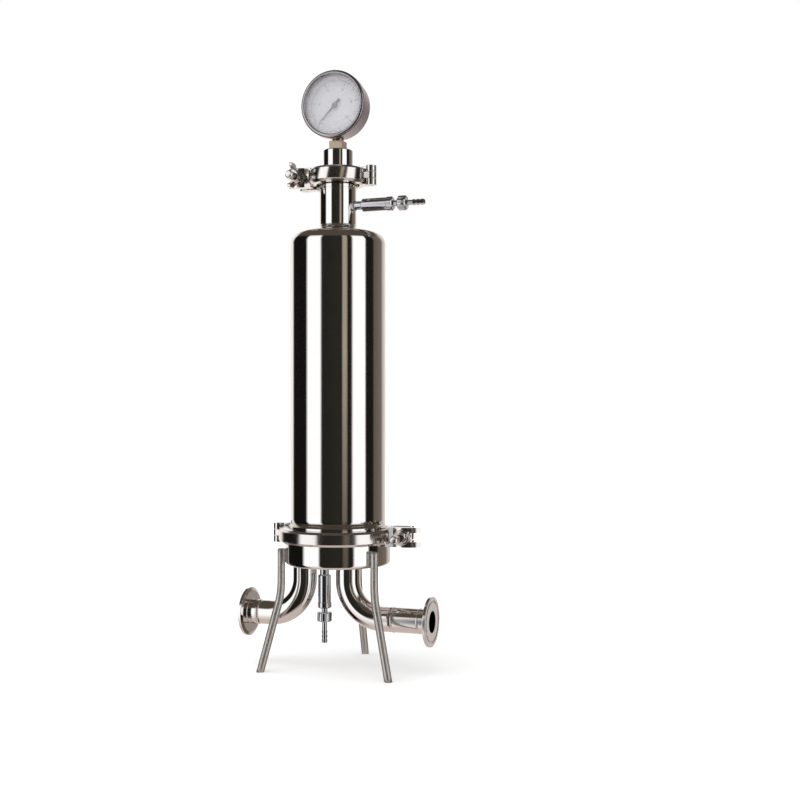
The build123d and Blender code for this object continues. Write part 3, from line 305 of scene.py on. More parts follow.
# ---------------------------------------------------------------- surfaces
def rounded(corners, closed=True, steps=5, support=0.14):
    """Outline through corners (radius, distance, rounding).

    A rounded corner is an arc tangent to both of its lines, centred on the corner's bisector at
    rounding / sin(half the corner's angle), with a support point on each line just beyond the arc.
    Points that fall together are dropped.
    """
    corners = np.array([(*c, 0.0)[:3] for c in corners], float)
    p, f = corners[:, :2], corners[:, 2]
    back, fore = np.roll(p, 1, 0) - p, np.roll(p, -1, 0) - p
    lb, lf = np.linalg.norm(back, axis=1), np.linalg.norm(fore, axis=1)
    back, fore = back / lb[:, None], fore / lf[:, None]
    half = np.arccos(np.clip((back * fore).sum(1), -1, 1)) / 2
    if not closed:
        f[[0, -1]] = 0
    cut = f / np.tan(half)
    room_b = np.minimum(support, np.maximum(lb - cut - np.roll(cut, 1), 0) / 3)
    room_f = np.minimum(support, np.maximum(lf - cut - np.roll(cut, -1), 0) / 3)
    bisector = back + fore
    bisector /= np.maximum(np.linalg.norm(bisector, axis=1), 1e-9)[:, None]
    centre = p + bisector * (f / np.sin(half))[:, None]
    s0 = p + back * cut[:, None] - centre
    s1 = p + fore * cut[:, None] - centre
    turn = (pi - 2 * half)[:, None, None]
    u = np.linspace(0, 1, steps + 1)[None, :, None]
    arc = (np.sin((1 - u) * turn) * s0[:, None] + np.sin(u * turn) * s1[:, None]) / np.sin(turn)
    arc = centre[:, None] + arc
    before = (p + back * (cut + room_b)[:, None])[:, None]
    after = (p + fore * (cut + room_f)[:, None])[:, None]
    rows = np.concatenate([before, arc, after], 1)
    rows = np.where((f > 0)[:, None, None], rows, p[:, None])
    line = rows.reshape(-1, 2)
    keep = np.linalg.norm(line - np.roll(line, 1, 0), axis=1) > 1e-4
    if not closed:
        keep[0] = True
    return line[keep]


def turned(line, origin=(0, 0, 0), along=(0, 0, 1), across=(1, 0, 0), count=160):
    """Surface turned round an axis.

    Point (r, h) at angle a goes to origin + h along + r (cos a across + sin a (along x across)).
    """
    line, origin, along, across = (np.asarray(v, float) for v in (line, origin, along, across))
    a = np.linspace(0, 2 * pi, count, endpoint=False)
    spoke = np.cos(a)[:, None] * across + np.sin(a)[:, None] * np.cross(along, across)
    return origin + line[:, None, 1:2] * along + line[:, None, 0:1] * spoke


def carried(path, section, side):
    """Section carried along a path: point (x, y) goes to path + x normal + y side, normal = side x tangent."""
    path, side = np.asarray(path, float), np.asarray(side, float)
    tangent = np.gradient(path, axis=0)
    tangent /= np.linalg.norm(tangent, axis=1)[:, None]
    side = np.broadcast_to(side, path.shape)
    normal = np.cross(side, tangent)
    normal /= np.linalg.norm(normal, axis=1)[:, None]
    section = np.asarray(section, float)
    if section.ndim == 2:
        section = np.broadcast_to(section, (len(path), *section.shape))
    return path[:, None] + section[..., 0:1] * normal[:, None] + section[..., 1:2] * side[:, None]


def circle(radius, count):
    """Points at even angles a on a circle: (radius cos a, radius sin a)."""
    a = np.linspace(0, 2 * pi, count, endpoint=False)
    return radius * np.stack([np.cos(a), np.sin(a)], 1)


def skin(rings, wrap):
    """Closed mesh over rings of points: quads between neighbouring rings.

    With wrap the last ring joins the first. Without it each end closes on a pole at its ring's middle.
    """
    rows, count = rings.shape[:2]
    start, stop = 0, rows
    if not wrap:
        spread = np.ptp(rings, axis=1).max(1)
        start, stop = int(spread[0] < 1e-6), rows - int(spread[-1] < 1e-6)
    body = rings[start:stop]
    n = len(body)
    i = np.arange(n if wrap else n - 1)[:, None]
    j = np.arange(count)[None, :]
    k, m = (i + 1) % n, (j + 1) % count
    quads = np.stack([i * count + j, i * count + m, k * count + m, k * count + j], -1).reshape(-1, 4)
    points = body.reshape(-1, 3)
    fans = np.zeros((0, 3), int)
    if not wrap:
        poles = np.stack([rings[0].mean(0), rings[-1].mean(0)])
        j = np.arange(count)
        m = (j + 1) % count
        last = (n - 1) * count
        foot = np.stack([np.full(count, n * count), m, j], 1)
        head = np.stack([np.full(count, n * count + 1), last + j, last + m], 1)
        fans = np.concatenate([foot, head])
        points = np.concatenate([points, poles])
    tris = np.concatenate([quads[:, [0, 1, 2]], quads[:, [0, 2, 3]], fans])
    a, b, c = (points[tris[:, t]] for t in range(3))
    if (a * np.cross(b, c)).sum() < 0:
        quads, fans = quads[:, ::-1], fans[:, ::-1]
    return points, quads, fans


def new_piece(name, skins, material, smooth=True):
    """One object from one or more closed skins, in metres, at the origin."""
    points, faces, first = [], [], 0
    for pts, quads, fans in skins:
        points.append(pts)
        faces += (quads + first).tolist() + (fans + first).tolist()
        first += len(pts)
    mesh = bpy.data.meshes.new(name)
    mesh.from_pydata((np.concatenate(points) * MM).tolist(), [], faces)
    mesh.polygons.foreach_set("use_smooth", np.full(len(mesh.polygons), smooth))
    mesh.update()
    piece = bpy.data.objects.new(name, mesh)
    bpy.context.scene.collection.objects.link(piece)
    mesh.materials.append(material)
    return piece


def stands_for(piece, *nodes):
    """The piece takes the place and the body of these CAD nodes, which are hidden."""
    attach(piece, frame["nodes"][nodes[0]]["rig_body"])
    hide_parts(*nodes)
    return piece


def rides_with(piece, node):
    """The piece moves with a CAD node's body."""
    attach(piece, frame["nodes"][node]["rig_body"])
    return piece


def softened(node, material, edge, segments=3):
    """Merged copy of a CAD node whose sharp edges are rounded; flat triangles become whole faces first."""
    mesh = frame["nodes"][node].data.copy()
    mesh.materials.clear()
    form = bmesh.new()
    form.from_mesh(mesh)
    bmesh.ops.remove_doubles(form, verts=form.verts, dist=0.004 * MM)
    bmesh.ops.dissolve_limit(form, angle_limit=radians(0.4), verts=form.verts, edges=form.edges)
    form.to_mesh(mesh)
    form.free()
    mesh.polygons.foreach_set("use_smooth", np.full(len(mesh.polygons), True))
    mesh.set_sharp_from_angle(angle=SHARP)
    mesh.materials.append(material)
    piece = bpy.data.objects.new(node + "_finished", mesh)
    bpy.context.scene.collection.objects.link(piece)
    bevel = piece.modifiers.new("Broken edges", "BEVEL")
    bevel.width = edge * MM
    bevel.segments = segments
    bevel.limit_method = "ANGLE"
    bevel.angle_limit = SHARP
    bevel.harden_normals = True
    return stands_for(piece, node)


def seam(radius, level, height, origin=(0, 0, 0), along=(0, 0, 1), across=(1, 0, 0), width=1.1, ripples=90):
    """Weld bead round a turned joint.

    Its section is an ellipse 2 width by 2 height, and the height rises and falls by a tenth at each
    ripple and by a twentieth seven times round.
    """
    a = np.linspace(0, 2 * pi, 288, endpoint=False)
    b = np.linspace(0, 2 * pi, 14, endpoint=False)
    swell = 1 + 0.1 * np.sin(ripples * a) + 0.05 * np.sin(7 * a)
    r = radius + height * np.sin(b)[None, :] * swell[:, None]
    h = level + width * np.cos(b)[None, :] + 0 * a[:, None]
    along, across = np.asarray(along, float), np.asarray(across, float)
    spoke = np.cos(a)[:, None] * across + np.sin(a)[:, None] * np.cross(along, across)
    rings = np.asarray(origin, float) + h[..., None] * along + r[..., None] * spoke[:, None]
    return skin(rings, True)


def tapered_rim(face, back, rim_r, back_r, hub_r, bore_r, rim, length):
    """Corners of a clamped ferrule: flat face, thin rim, leaning back face, and hub.

    `back` is 1 or -1, the way from the face to the hub.
    """
    shoulder = rim + (rim_r - back_r) * RIM_SLOPE
    corners = [
        (bore_r, face, 0.15),
        (rim_r, face, 0.35),
        (rim_r, face + back * rim, 0.3),
        (back_r, face + back * shoulder, 0.5),
    ]
    if hub_r < back_r - 0.01:
        corners.append((hub_r, face + back * shoulder, 0.6))
    return corners + [(hub_r, face + back * length, TOUCH), (bore_r, face + back * length, TOUCH)]


# ---------------------------------------------------------------- materials
def new_material(name):
    """An empty material of that name and its node tree."""
    material = bpy.data.materials.new(name)
    material.use_nodes = True
    material.node_tree.nodes.clear()
    return material, material.node_tree


def add(tree, kind, values=None, links=None, **settings):
    """One shader node with its settings, its fixed socket values and its incoming links."""
    node = tree.nodes.new("ShaderNode" + kind)
    for key, value in settings.items():
        setattr(node, key, value)
    for socket, value in (values or {}).items():
        node.inputs[socket].default_value = value
    for socket, source in (links or {}).items():
        tree.links.new(source, node.inputs[socket])
    return node


def per_metre(millimetres):
    """Texture scale that repeats once in that many millimetres of Object coordinates in metres."""
    return 1 / (millimetres * MM)


def ramp(tree, source, stops, smooth="LINEAR"):
    """Colour ramp over stops (place, colour), from a source socket."""
    node = add(tree, "ValToRGB", links={"Fac": source})
    node.color_ramp.interpolation = smooth
    elements = node.color_ramp.elements
    elements[0].position, elements[0].color = stops[0]
    elements[1].position, elements[1].color = stops[-1]
    for place, value in stops[1:-1]:
        elements.new(place).color = value
    return node


def grey(value):
    """A neutral colour of that linear value."""
    return (value, value, value, 1.0)


def metal(name, base, rough, grain, depth, stretch=(1, 1, 1), wave=0.0, wave_depth=0.0, blotch=0.05):
    """Bare metal: base colour with faint blotches, roughness and a fine bump from grain of a real size.

    `grain` and `depth` are in millimetres. `wave` is the size of the slow waviness that rolling and
    polishing leave, which bends reflections.
    """
    material, tree = new_material(name)
    place = add(tree, "TexCoord").outputs["Object"]
    turn = add(tree, "Mapping", {"Scale": stretch}, {"Vector": place}).outputs["Vector"]
    fine = add(tree, "TexNoise", {"Scale": per_metre(grain), "Detail": 3.0, "Roughness": 0.6}, {"Vector": turn})
    slow = add(tree, "TexNoise", {"Scale": per_metre(28.0), "Detail": 2.0}, {"Vector": place})
    tone = tuple(min(1.0, c * (1 + blotch)) for c in base[:3]) + (1.0,)
    deep = tuple(c * (1 - blotch) for c in base[:3]) + (1.0,)
    tint = ramp(tree, slow.outputs["Fac"], [(0.3, deep), (0.7, tone)])
    gloss = ramp(tree, fine.outputs["Fac"], [(0.25, grey(rough * 0.8)), (0.75, grey(rough * 1.25))])
    bump = add(tree, "Bump", {"Strength": 1.0, "Distance": depth * MM}, {"Height": fine.outputs["Fac"]})
    if wave:
        swell = add(tree, "TexNoise", {"Scale": per_metre(wave), "Detail": 1.0}, {"Vector": place})
        bump = add(
            tree,
            "Bump",
            {"Strength": 1.0, "Distance": wave_depth * MM},
            {"Height": swell.outputs["Fac"], "Normal": bump.outputs["Normal"]},
        )
    shader = add(
        tree,
        "BsdfPrincipled",
        {"Metallic": 1.0},
        {
            "Base Color": tint.outputs["Color"],
            "Roughness": gloss.outputs["Color"],
            "Normal": bump.outputs["Normal"],
        },
    )
    add(tree, "OutputMaterial", links={"Surface": shader.outputs["BSDF"]})
    return material


def solid(name, base, rough, grain, depth, ior=1.5, blotch=0.06):
    """Moulded or coated stuff: blotchy base colour, uneven gloss and a bump from grain of a real size.

    `grain` and `depth` are in millimetres.
    """
    material, tree = new_material(name)
    place = add(tree, "TexCoord").outputs["Object"]
    fine = add(
        tree, "TexNoise", {"Scale": per_metre(grain), "Detail": 3.0, "Roughness": 0.6}, {"Vector": place}
    )
    slow = add(tree, "TexNoise", {"Scale": per_metre(12.0), "Detail": 2.0}, {"Vector": place})
    tone = tuple(min(1.0, c * (1 + blotch)) for c in base[:3]) + (1.0,)
    deep = tuple(c * (1 - blotch) for c in base[:3]) + (1.0,)
    tint = ramp(tree, slow.outputs["Fac"], [(0.3, deep), (0.7, tone)])
    gloss = ramp(tree, fine.outputs["Fac"], [(0.25, grey(rough * 0.85)), (0.75, grey(min(1.0, rough * 1.15)))])
    bump = add(tree, "Bump", {"Strength": 1.0, "Distance": depth * MM}, {"Height": fine.outputs["Fac"]})
    shader = add(
        tree,
        "BsdfPrincipled",
        {"IOR": ior},
        {
            "Base Color": tint.outputs["Color"],
            "Roughness": gloss.outputs["Color"],
            "Normal": bump.outputs["Normal"],
        },
    )
    add(tree, "OutputMaterial", links={"Surface": shader.outputs["BSDF"]})
    return material


def make_materials(hues):
    """Every finish of the housing, by the record's slot name, and the dial's ink, which has no slot."""

    def hue(slot):
        return tuple(getattr(hues, slot))

    made = {
        # Mirror-polished stainless tube and spinnings: near white reflections, bent a little by the
        # waviness that rolling and hand polishing leave.
        "polished_steel": metal(
            "Mirror-polished stainless steel", hue("polished_steel"), 0.06, 1.2, 0.0012,
            stretch=(1, 1, 0.25), wave=34.0, wave_depth=0.05, blotch=0.02,
        ),
        # Drawn stainless rod, never polished: satin, with die lines along it.
        "leg_steel": metal(
            "Drawn stainless rod", hue("leg_steel"), 0.46, 0.7, 0.0015, stretch=(1, 1, 0.1)
        ),
        # Pressed stainless sheet, buffed once: softer than the tubes, and greyer as painted shade, its darker
        # base colour standing in for the dark reflections on the case and bezel.
        "gauge_steel": metal("Pressed stainless sheet", hue("gauge_steel"), 0.24, 0.6, 0.0005, blotch=0.04),
        # Stainless castings tumbled with stones: soft satin gloss, pebbled skin.
        "cast_steel": metal(
            "Tumbled stainless casting", hue("cast_steel"), 0.15, 1.6, 0.0012, wave=16.0, wave_depth=0.05
        ),
        # Bar turned on a lathe: cooler grey, fine tool lines.
        "valve_steel": metal("Turned stainless bar", hue("valve_steel"), 0.11, 0.5, 0.0015, blotch=0.04),
        # Turned brass, nickel flashed and dulled.
        "stem_brass": metal("Turned brass", hue("stem_brass"), 0.2, 0.6, 0.002, blotch=0.08),
        # Compression-moulded silicone: off-white, waxy.
        "gasket_rubber": solid("Moulded silicone", hue("gasket_rubber"), 0.45, 0.8, 0.01, ior=1.41),
        # Moulded EPDM: black, slightly shiny from the mould.
        "o_ring_rubber": solid("Moulded EPDM", hue("o_ring_rubber"), 0.4, 0.5, 0.008, ior=1.48),
        # Turned PTFE: chalk white, silky.
        "seal_ptfe": solid("Turned PTFE", hue("seal_ptfe"), 0.4, 0.4, 0.006, ior=1.38),
        # White enamel sprayed on aluminium: faintly lilac under glass, matt.
        "dial_enamel": solid("Dial enamel", hue("dial_enamel"), 0.55, 0.5, 0.004, blotch=0.03),
        # Black lacquer on a stamped pointer: dark grey under glass, half matt.
        "pointer_black": solid("Pointer lacquer", hue("pointer_black"), 0.45, 0.5, 0.003),
        # Injection-moulded polypropylene: milky, soft gloss.
        "cartridge_plastic": solid(
            "Moulded polypropylene", hue("cartridge_plastic"), 0.35, 1.0, 0.012, ior=1.49
        ),
        # Pleated polyethersulfone membrane: white, papery.
        "pleat_membrane": solid("Pleated membrane", hue("pleat_membrane"), 0.85, 0.25, 0.03),
        # Grey ink screened on the dial: matt, hardly raised.
        "dial_print": solid("Dial ink", hue("dial_print"), 0.6, 0.4, 0.002),
    }
    # Clear float glass: sharp reflections, nearly no tint, faintly smeared by wiping. Its white base at a fifth
    # alpha lays a pale veil over the dial, a painted sheen standing in for glare on the glass, which also
    # lightens the dial's shaded rim.
    material, tree = new_material("Float glass")
    place = add(tree, "TexCoord").outputs["Object"]
    smear = add(tree, "TexNoise", {"Scale": per_metre(15.0), "Detail": 3.0}, {"Vector": place})
    gloss = ramp(tree, smear.outputs["Fac"], [(0.35, grey(0.0)), (0.75, grey(0.03))])
    glass = add(
        tree,
        "BsdfPrincipled",
        {"Base Color": hue("lens_glass"), "IOR": 1.5, "Alpha": 0.2},
        {"Roughness": gloss.outputs["Color"]},
    )
    add(tree, "OutputMaterial", links={"Surface": glass.outputs["BSDF"]})
    made["lens_glass"] = material
    return made


FINISHES = {
    "polished_steel": (
        "base_pan", "cartridge_socket", "inlet_elbow", "inlet_ferrule", "outlet_elbow", "outlet_spool",
        "outlet_ferrule", "bell_shell", "bell_flange", "neck_tube", "neck_ferrule", "gauge_adapter",
    ),
    "leg_steel": ("leg_rear", "leg_left", "leg_right"),
    "gauge_steel": ("gauge_case", "gauge_bezel"),
    "cast_steel": tuple(
        f"{clamp}_clamp_{piece}"
        for clamp in ("main", "top")
        for piece in ("rear_half", "front_half", "hinge_pin", "bolt_pin", "swing_bolt", "washer", "wing_nut")
    ),
    "valve_steel": tuple(
        f"{valve}_valve_{piece}" for valve in ("vent", "drain") for piece in ("body", "gland", "spindle")
    ),
    "gasket_rubber": ("main_gasket", "top_gasket"),
    "o_ring_rubber": ("adapter_o_rings",),
    "seal_ptfe": ("vent_valve_seal", "drain_valve_seal"),
    "stem_brass": ("gauge_stem", "bourdon_tube", "gauge_movement"),
    "dial_enamel": ("gauge_dial",),
    "pointer_black": ("gauge_pointer",),
    "lens_glass": ("gauge_lens",),
    "cartridge_plastic": (
        "cartridge_adapter", "cartridge_lower_cap", "cartridge_upper_cap", "cartridge_cage", "cartridge_core",
    ),
    "pleat_membrane": ("cartridge_pleats",),
}
finishes = {}  # materials by slot, filled by the first operator


# ---------------------------------------------------------------- operators
class MakeFinishes(bpy.types.Operator):
    """Materials of every finish, from their base colours"""

    bl_idname = "filter_housing.finishes"
    bl_label = "Finishes"

    def execute(self, context):
        finishes.update(make_materials(context.scene.finish_colours))
        return {"FINISHED"}


class DressBase(bpy.types.Operator):
    """Turned base with its clamped rim, and the gasket on it"""

    bl_idname = "filter_housing.base"
    bl_label = "Base"

    def execute(self, context):
        s = in_mm(context.scene.base_sizes)
        face = s.joint - s.gasket / 2
        back = face - s.rim
        drum, neck, flange, bore = s.drum / 2, s.neck / 2, s.flange / 2, s.bore / 2
        bore_end = s.top - s.bore_depth
        line = rounded(
            [
                (0, s.floor),
                (drum, s.floor, s.edge),
                (drum, s.top, 0.5),
                (neck, s.top, 0.4),
                (neck, back - (flange - neck) * RIM_SLOPE, 0.4),
                (flange, back, 0.3),
                (flange, face, 0.3),
                (bore, face, 0.2),
                (bore, bore_end, 0.3),
                (drum - s.wall, bore_end - s.widening, 0.3),
                (drum - s.wall, s.floor + s.plate, 0.8),
                (0, s.floor + s.plate),
            ],
            closed=False,
        )
        pan = new_piece("base_turned", [skin(turned(line, count=200), False)], finishes["polished_steel"])
        stands_for(pan, "base_pan")
        half, rim = s.gasket / 2, flange - 0.3
        ring = [(bore, -half, 0.2), (rim, -half, 0.4), (rim, half, 0.4), (bore, half, 0.2)]
        gasket = new_piece(
            "main_joint_gasket",
            [skin(turned(rounded(ring), (0, 0, s.joint), count=160), True)],
            finishes["gasket_rubber"],
        )
        stands_for(gasket, "main_gasket")
        return {"FINISHED"}


class DressLegs(bpy.types.Operator):
    """Three bent rod legs with their fillet welds on the drum

    A leg is a circle carried down a straight rise, an arc tangent to it and a straight fall, cut level
    at the floor.
    """

    bl_idname = "filter_housing.legs"
    bl_label = "Legs"

    def execute(self, context):
        s = in_mm(context.scene.base_sizes)
        rod = s.rod / 2
        shank = s.drum / 2 + rod
        fall = np.array([s.foot - shank, -s.knee])
        fall /= np.linalg.norm(fall)
        lean = acos(-fall[1])
        cut = s.knee_radius * np.tan(lean / 2)
        bend = np.linspace(0, lean, 14)
        centre = np.array([shank + s.knee_radius, s.knee + cut])
        arc = centre - s.knee_radius * np.stack([np.cos(bend), np.sin(bend)], 1)
        rise = np.stack([np.full(8, shank), np.linspace(s.leg_top, s.knee + cut + 0.5, 8)], 1)
        span = arc[-1, 1] / -fall[1]
        run = arc[-1] + np.linspace(0.5, span, 16)[:, None] * fall
        flat = np.concatenate([rise, arc, run])
        for node, turn in (("leg_rear", 90), ("leg_left", 210), ("leg_right", 330)):
            out = np.array([cos(radians(turn)), sin(radians(turn)), 0])
            side = np.cross((0, 0, 1), out)
            path = flat[:, 0:1] * out + flat[:, 1:2] * np.array([0, 0, 1])
            tube = carried(path, circle(rod, 40), side)
            down = fall[0] * out + np.array([0, 0, fall[1]])
            tube[-1] -= (tube[-1, :, 2] / down[2])[:, None] * down
            # The upper end: the first circle drawn in to 0.12 and 0.86 of its radius, then rounded over.
            top = tube[:1]
            middle = top.mean(1, keepdims=True)
            cap, brim = top * 0.12 + middle * 0.88, top * 0.86 + middle * 0.14
            rings = np.concatenate([cap, brim, top - (0, 0, s.rod_end), tube[1:]])
            welds = [self.weld(out, side, s, way) for way in (-1, 1)]
            leg = new_piece(node + "_rod", [skin(rings, False), *welds], finishes["leg_steel"])
            stands_for(leg, node)
        return {"FINISHED"}

    @staticmethod
    def weld(out, side, s, way):
        """Fillet bead down one side of a leg: an oval that swells by 8 % with each of nine drops.

        It closes at its ends as the square root of 1 - (2 u - 1)^8, u running from 0 to 1.
        """
        u = np.linspace(0, 1, 60)
        level = np.linspace(s.floor + s.weld_foot, s.leg_top - s.weld_top, len(u))
        ends = np.sqrt(np.clip(1 - (2 * u - 1) ** 8, 0.0, 1))
        swell = (1 + 0.08 * np.sin(u * 2 * pi * 9)) * ends
        path = out * (s.drum / 2 + s.weld_out) + side * way * s.weld_aside
        path = path + level[:, None] * np.array([0, 0, 1])
        a = np.linspace(0, 2 * pi, 14, endpoint=False)
        section = np.stack([s.bead_out * np.cos(a), s.bead_side * np.sin(a)], 1)
        return skin(carried(path, section[None] * swell[:, None, None], side), False)


class DressPorts(bpy.types.Operator):
    """Two bent port tubes with clamp ferrules and dressed weld seams

    A tube is two circles, outside and inside, carried down a riser, a quarter bend and a straight end.
    """

    bl_idname = "filter_housing.ports"
    bl_label = "Ports"

    def execute(self, context):
        s = in_mm(context.scene.port_sizes)
        floor = context.scene.base_sizes.floor / MM
        steel = finishes["polished_steel"]
        outer, inner = s.tube / 2, s.tube / 2 - s.wall
        for name, way, offset in (("inlet", -1, s.inlet), ("outlet", 1, s.outlet)):
            knee = floor - s.riser
            bend = np.linspace(0, pi / 2, 25)
            centre = np.array([way * (offset + s.bend), knee])
            arc = centre - s.bend * np.stack([way * np.cos(bend), np.sin(bend)], 1)
            rise = np.stack([np.full(5, way * offset), np.linspace(floor, knee + 1, 5)], 1)
            run = np.stack([arc[-1, 0] + way * np.linspace(1, s.tangent, 4), np.full(4, s.height)], 1)
            flat = np.concatenate([rise, arc, run])
            path = np.stack([flat[:, 0], np.zeros(len(flat)), flat[:, 1]], 1)
            outside = carried(path, circle(outer, 72), (0, 1, 0))
            inside = carried(path, circle(inner, 72), (0, 1, 0))
            along, origin = (way, 0, 0), (0, 0, s.height)
            end = offset + s.bend + s.tangent
            face = {"origin": origin, "along": along, "across": (0, 0, 1)}
            root = {"origin": (way * offset, 0, 0)}
            seams = [
                seam(outer, end, s.seam, **face),
                seam(outer + 0.1, floor - 0.4, s.root_bead, width=s.root_bead, **root),
            ]
            elbow = new_piece(
                f"{name}_elbow_tube", [skin(np.concatenate([outside, inside[::-1]]), True), *seams], steel
            )
            stands_for(elbow, f"{name}_elbow")
            length = s.ferrule if way > 0 else s.reach - end
            corners = tapered_rim(s.reach, -1, s.rim / 2, s.rim_back / 2, outer, inner, s.rim_edge, length)
            outer_wall, inner_wall = s.rim_back / 2, s.rim_back / 2 - s.groove
            groove = [
                (inner_wall, s.reach, 0.2),
                (inner_wall + s.groove_side, s.reach - s.groove_depth, 0.4),
                (outer_wall - s.groove_side, s.reach - s.groove_depth, 0.4),
                (outer_wall, s.reach, 0.2),
            ]
            line = rounded([corners[0], *groove, *corners[1:]])
            parts = [skin(turned(line, count=144, **face), True)]
            if way > 0:
                parts.append(seam(outer, s.reach - length, s.seam, **face))
            ferrule = new_piece(f"{name}_ferrule_turned", parts, steel)
            stands_for(ferrule, f"{name}_ferrule")
        # After the outlet's turn, `end`, `length` and `face` are the outlet's.
        far = s.reach - length
        spool = rounded([(inner, end, TOUCH), (outer, end, TOUCH), (outer, far, TOUCH), (inner, far, TOUCH)])
        tube = new_piece("outlet_spool_tube", [skin(turned(spool, count=144, **face), True)], steel)
        stands_for(tube, "outlet_spool")
        return {"FINISHED"}


class DressBell(bpy.types.Operator):
    """Spun and polished bell on its clamped flange"""

    bl_idname = "filter_housing.bell"
    bl_label = "Bell"

    def execute(self, context):
        s, b = in_mm(context.scene.bell_sizes), in_mm(context.scene.base_sizes)
        steel = finishes["polished_steel"]
        shell, neck = s.outside / 2, s.neck / 2
        knuckle_x = shell - s.knuckle
        crown_level = s.shoulder - sqrt((s.crown - s.knuckle) ** 2 - knuckle_x**2)
        start = acos(knuckle_x / (s.crown - s.knuckle))

        def profile(inset, stop_r):
            """Side, knuckle arc and crown arc of the bell, moved inwards by inset."""
            level = np.linspace(s.foot, s.shoulder - 1, 40)
            side = np.stack([np.full_like(level, shell - inset), level], 1)
            a = np.linspace(0, start, 22)[:, None]
            knuckle = (knuckle_x, s.shoulder) + (s.knuckle - inset) * np.hstack([np.cos(a), np.sin(a)])
            a = np.linspace(start, acos(stop_r / (s.crown - inset)), 26)[1:, None]
            crown = (0, crown_level) + (s.crown - inset) * np.hstack([np.cos(a), np.sin(a)])
            return np.concatenate([side, knuckle, crown])

        line = np.concatenate([profile(0, neck), profile(s.wall, neck)[::-1]])
        # Pulled collar: a quarter arc from the crown up to the neck, tangent to the neck, and closed by
        # three points inside the steel.
        level = crown_level + sqrt(s.crown**2 - neck**2)
        a = np.linspace(0, pi / 2, 10)
        rise = s.collar * (1 - np.cos(a)) - s.collar_sink * np.cos(a)
        flare = np.stack([neck + s.collar * (1 - np.sin(a)), level + rise], 1)
        hidden = [(neck - 0.6, level + s.collar), (neck - 0.6, level - 0.8), (neck + s.collar, level - 1.2)]
        root = skin(turned(np.concatenate([flare, hidden]), count=160), True)
        bell = new_piece("bell_spun", [skin(turned(line, count=256), True), root], steel)
        stands_for(bell, "bell_shell")
        hub = b.joint + b.gasket / 2
        corners = tapered_rim(hub, 1, b.flange / 2, b.neck / 2, b.neck / 2, b.bore / 2, b.rim, s.foot - hub)
        corners[-2] = (b.neck / 2, s.foot, 0.3)
        flange = new_piece("bell_flange_turned", [skin(turned(rounded(corners), count=200), True)], steel)
        stands_for(flange, "bell_flange")
        return {"FINISHED"}


class DressNeck(bpy.types.Operator):
    """Neck tube, its ferrule, the top gasket and the gauge adapter"""

    bl_idname = "filter_housing.neck"
    bl_label = "Neck"

    def execute(self, context):
        s = in_mm(context.scene.bell_sizes)
        steel = finishes["polished_steel"]
        outer, inner = s.neck / 2, s.neck / 2 - s.neck_wall
        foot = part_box("neck_tube")[0].z / MM
        head = s.ferrule_foot
        tube = rounded([(inner, foot, TOUCH), (outer, foot, TOUCH), (outer, head, TOUCH), (inner, head, TOUCH)])
        neck = new_piece("neck_tube_drawn", [skin(turned(tube, count=160), True)], steel)
        stands_for(neck, "neck_tube")
        face = s.joint - s.gasket / 2
        corners = tapered_rim(face, -1, s.rim / 2, s.rim_back / 2, outer, inner, s.rim_edge, face - head)
        parts = [skin(turned(rounded(corners), count=144), True), seam(outer, head, s.seam)]
        ferrule = new_piece("neck_ferrule_turned", parts, steel)
        stands_for(ferrule, "neck_ferrule")
        half, rim = s.gasket / 2, s.rim / 2 - 0.3
        ring = rounded([(inner, -half, 0.2), (rim, -half, 0.4), (rim, half, 0.4), (inner, half, 0.2)])
        gasket = new_piece(
            "top_joint_gasket", [skin(turned(ring, (0, 0, s.joint)), True)], finishes["gasket_rubber"]
        )
        stands_for(gasket, "top_gasket")
        face = s.joint + s.gasket / 2
        corners = tapered_rim(face, 1, s.rim / 2, s.rim_back / 2, s.boss / 2, 0, s.rim_edge, s.boss_top - face)
        thread, thread_foot = s.thread / 2, s.boss_top - s.thread_depth
        corners[0] = (0, face)
        corners[-2:] = [
            (s.boss / 2, s.boss_top, 1.2),
            (thread, s.boss_top, 0.4),
            (thread, thread_foot, 0.2),
            (0, thread_foot),
        ]
        line = rounded(corners, closed=False)
        adapter = new_piece("gauge_adapter_turned", [skin(turned(line), False)], steel)
        stands_for(adapter, "gauge_adapter")
        return {"FINISHED"}


class DressClamps(bpy.types.Operator):
    """Cast halves, pins, swing bolts, washers and wing nuts of both hinged clamps"""

    bl_idname = "filter_housing.clamps"
    bl_label = "Clamps"

    def execute(self, context):
        s = in_mm(context.scene.clamp_sizes)
        for node in FINISHES["cast_steel"]:
            if node.endswith("half"):
                edge = s.edge
            elif node.endswith("wing_nut"):
                edge = s.wing_edge
            else:
                edge = s.pin_edge
            softened(node, finishes["cast_steel"], edge)
        return {"FINISHED"}


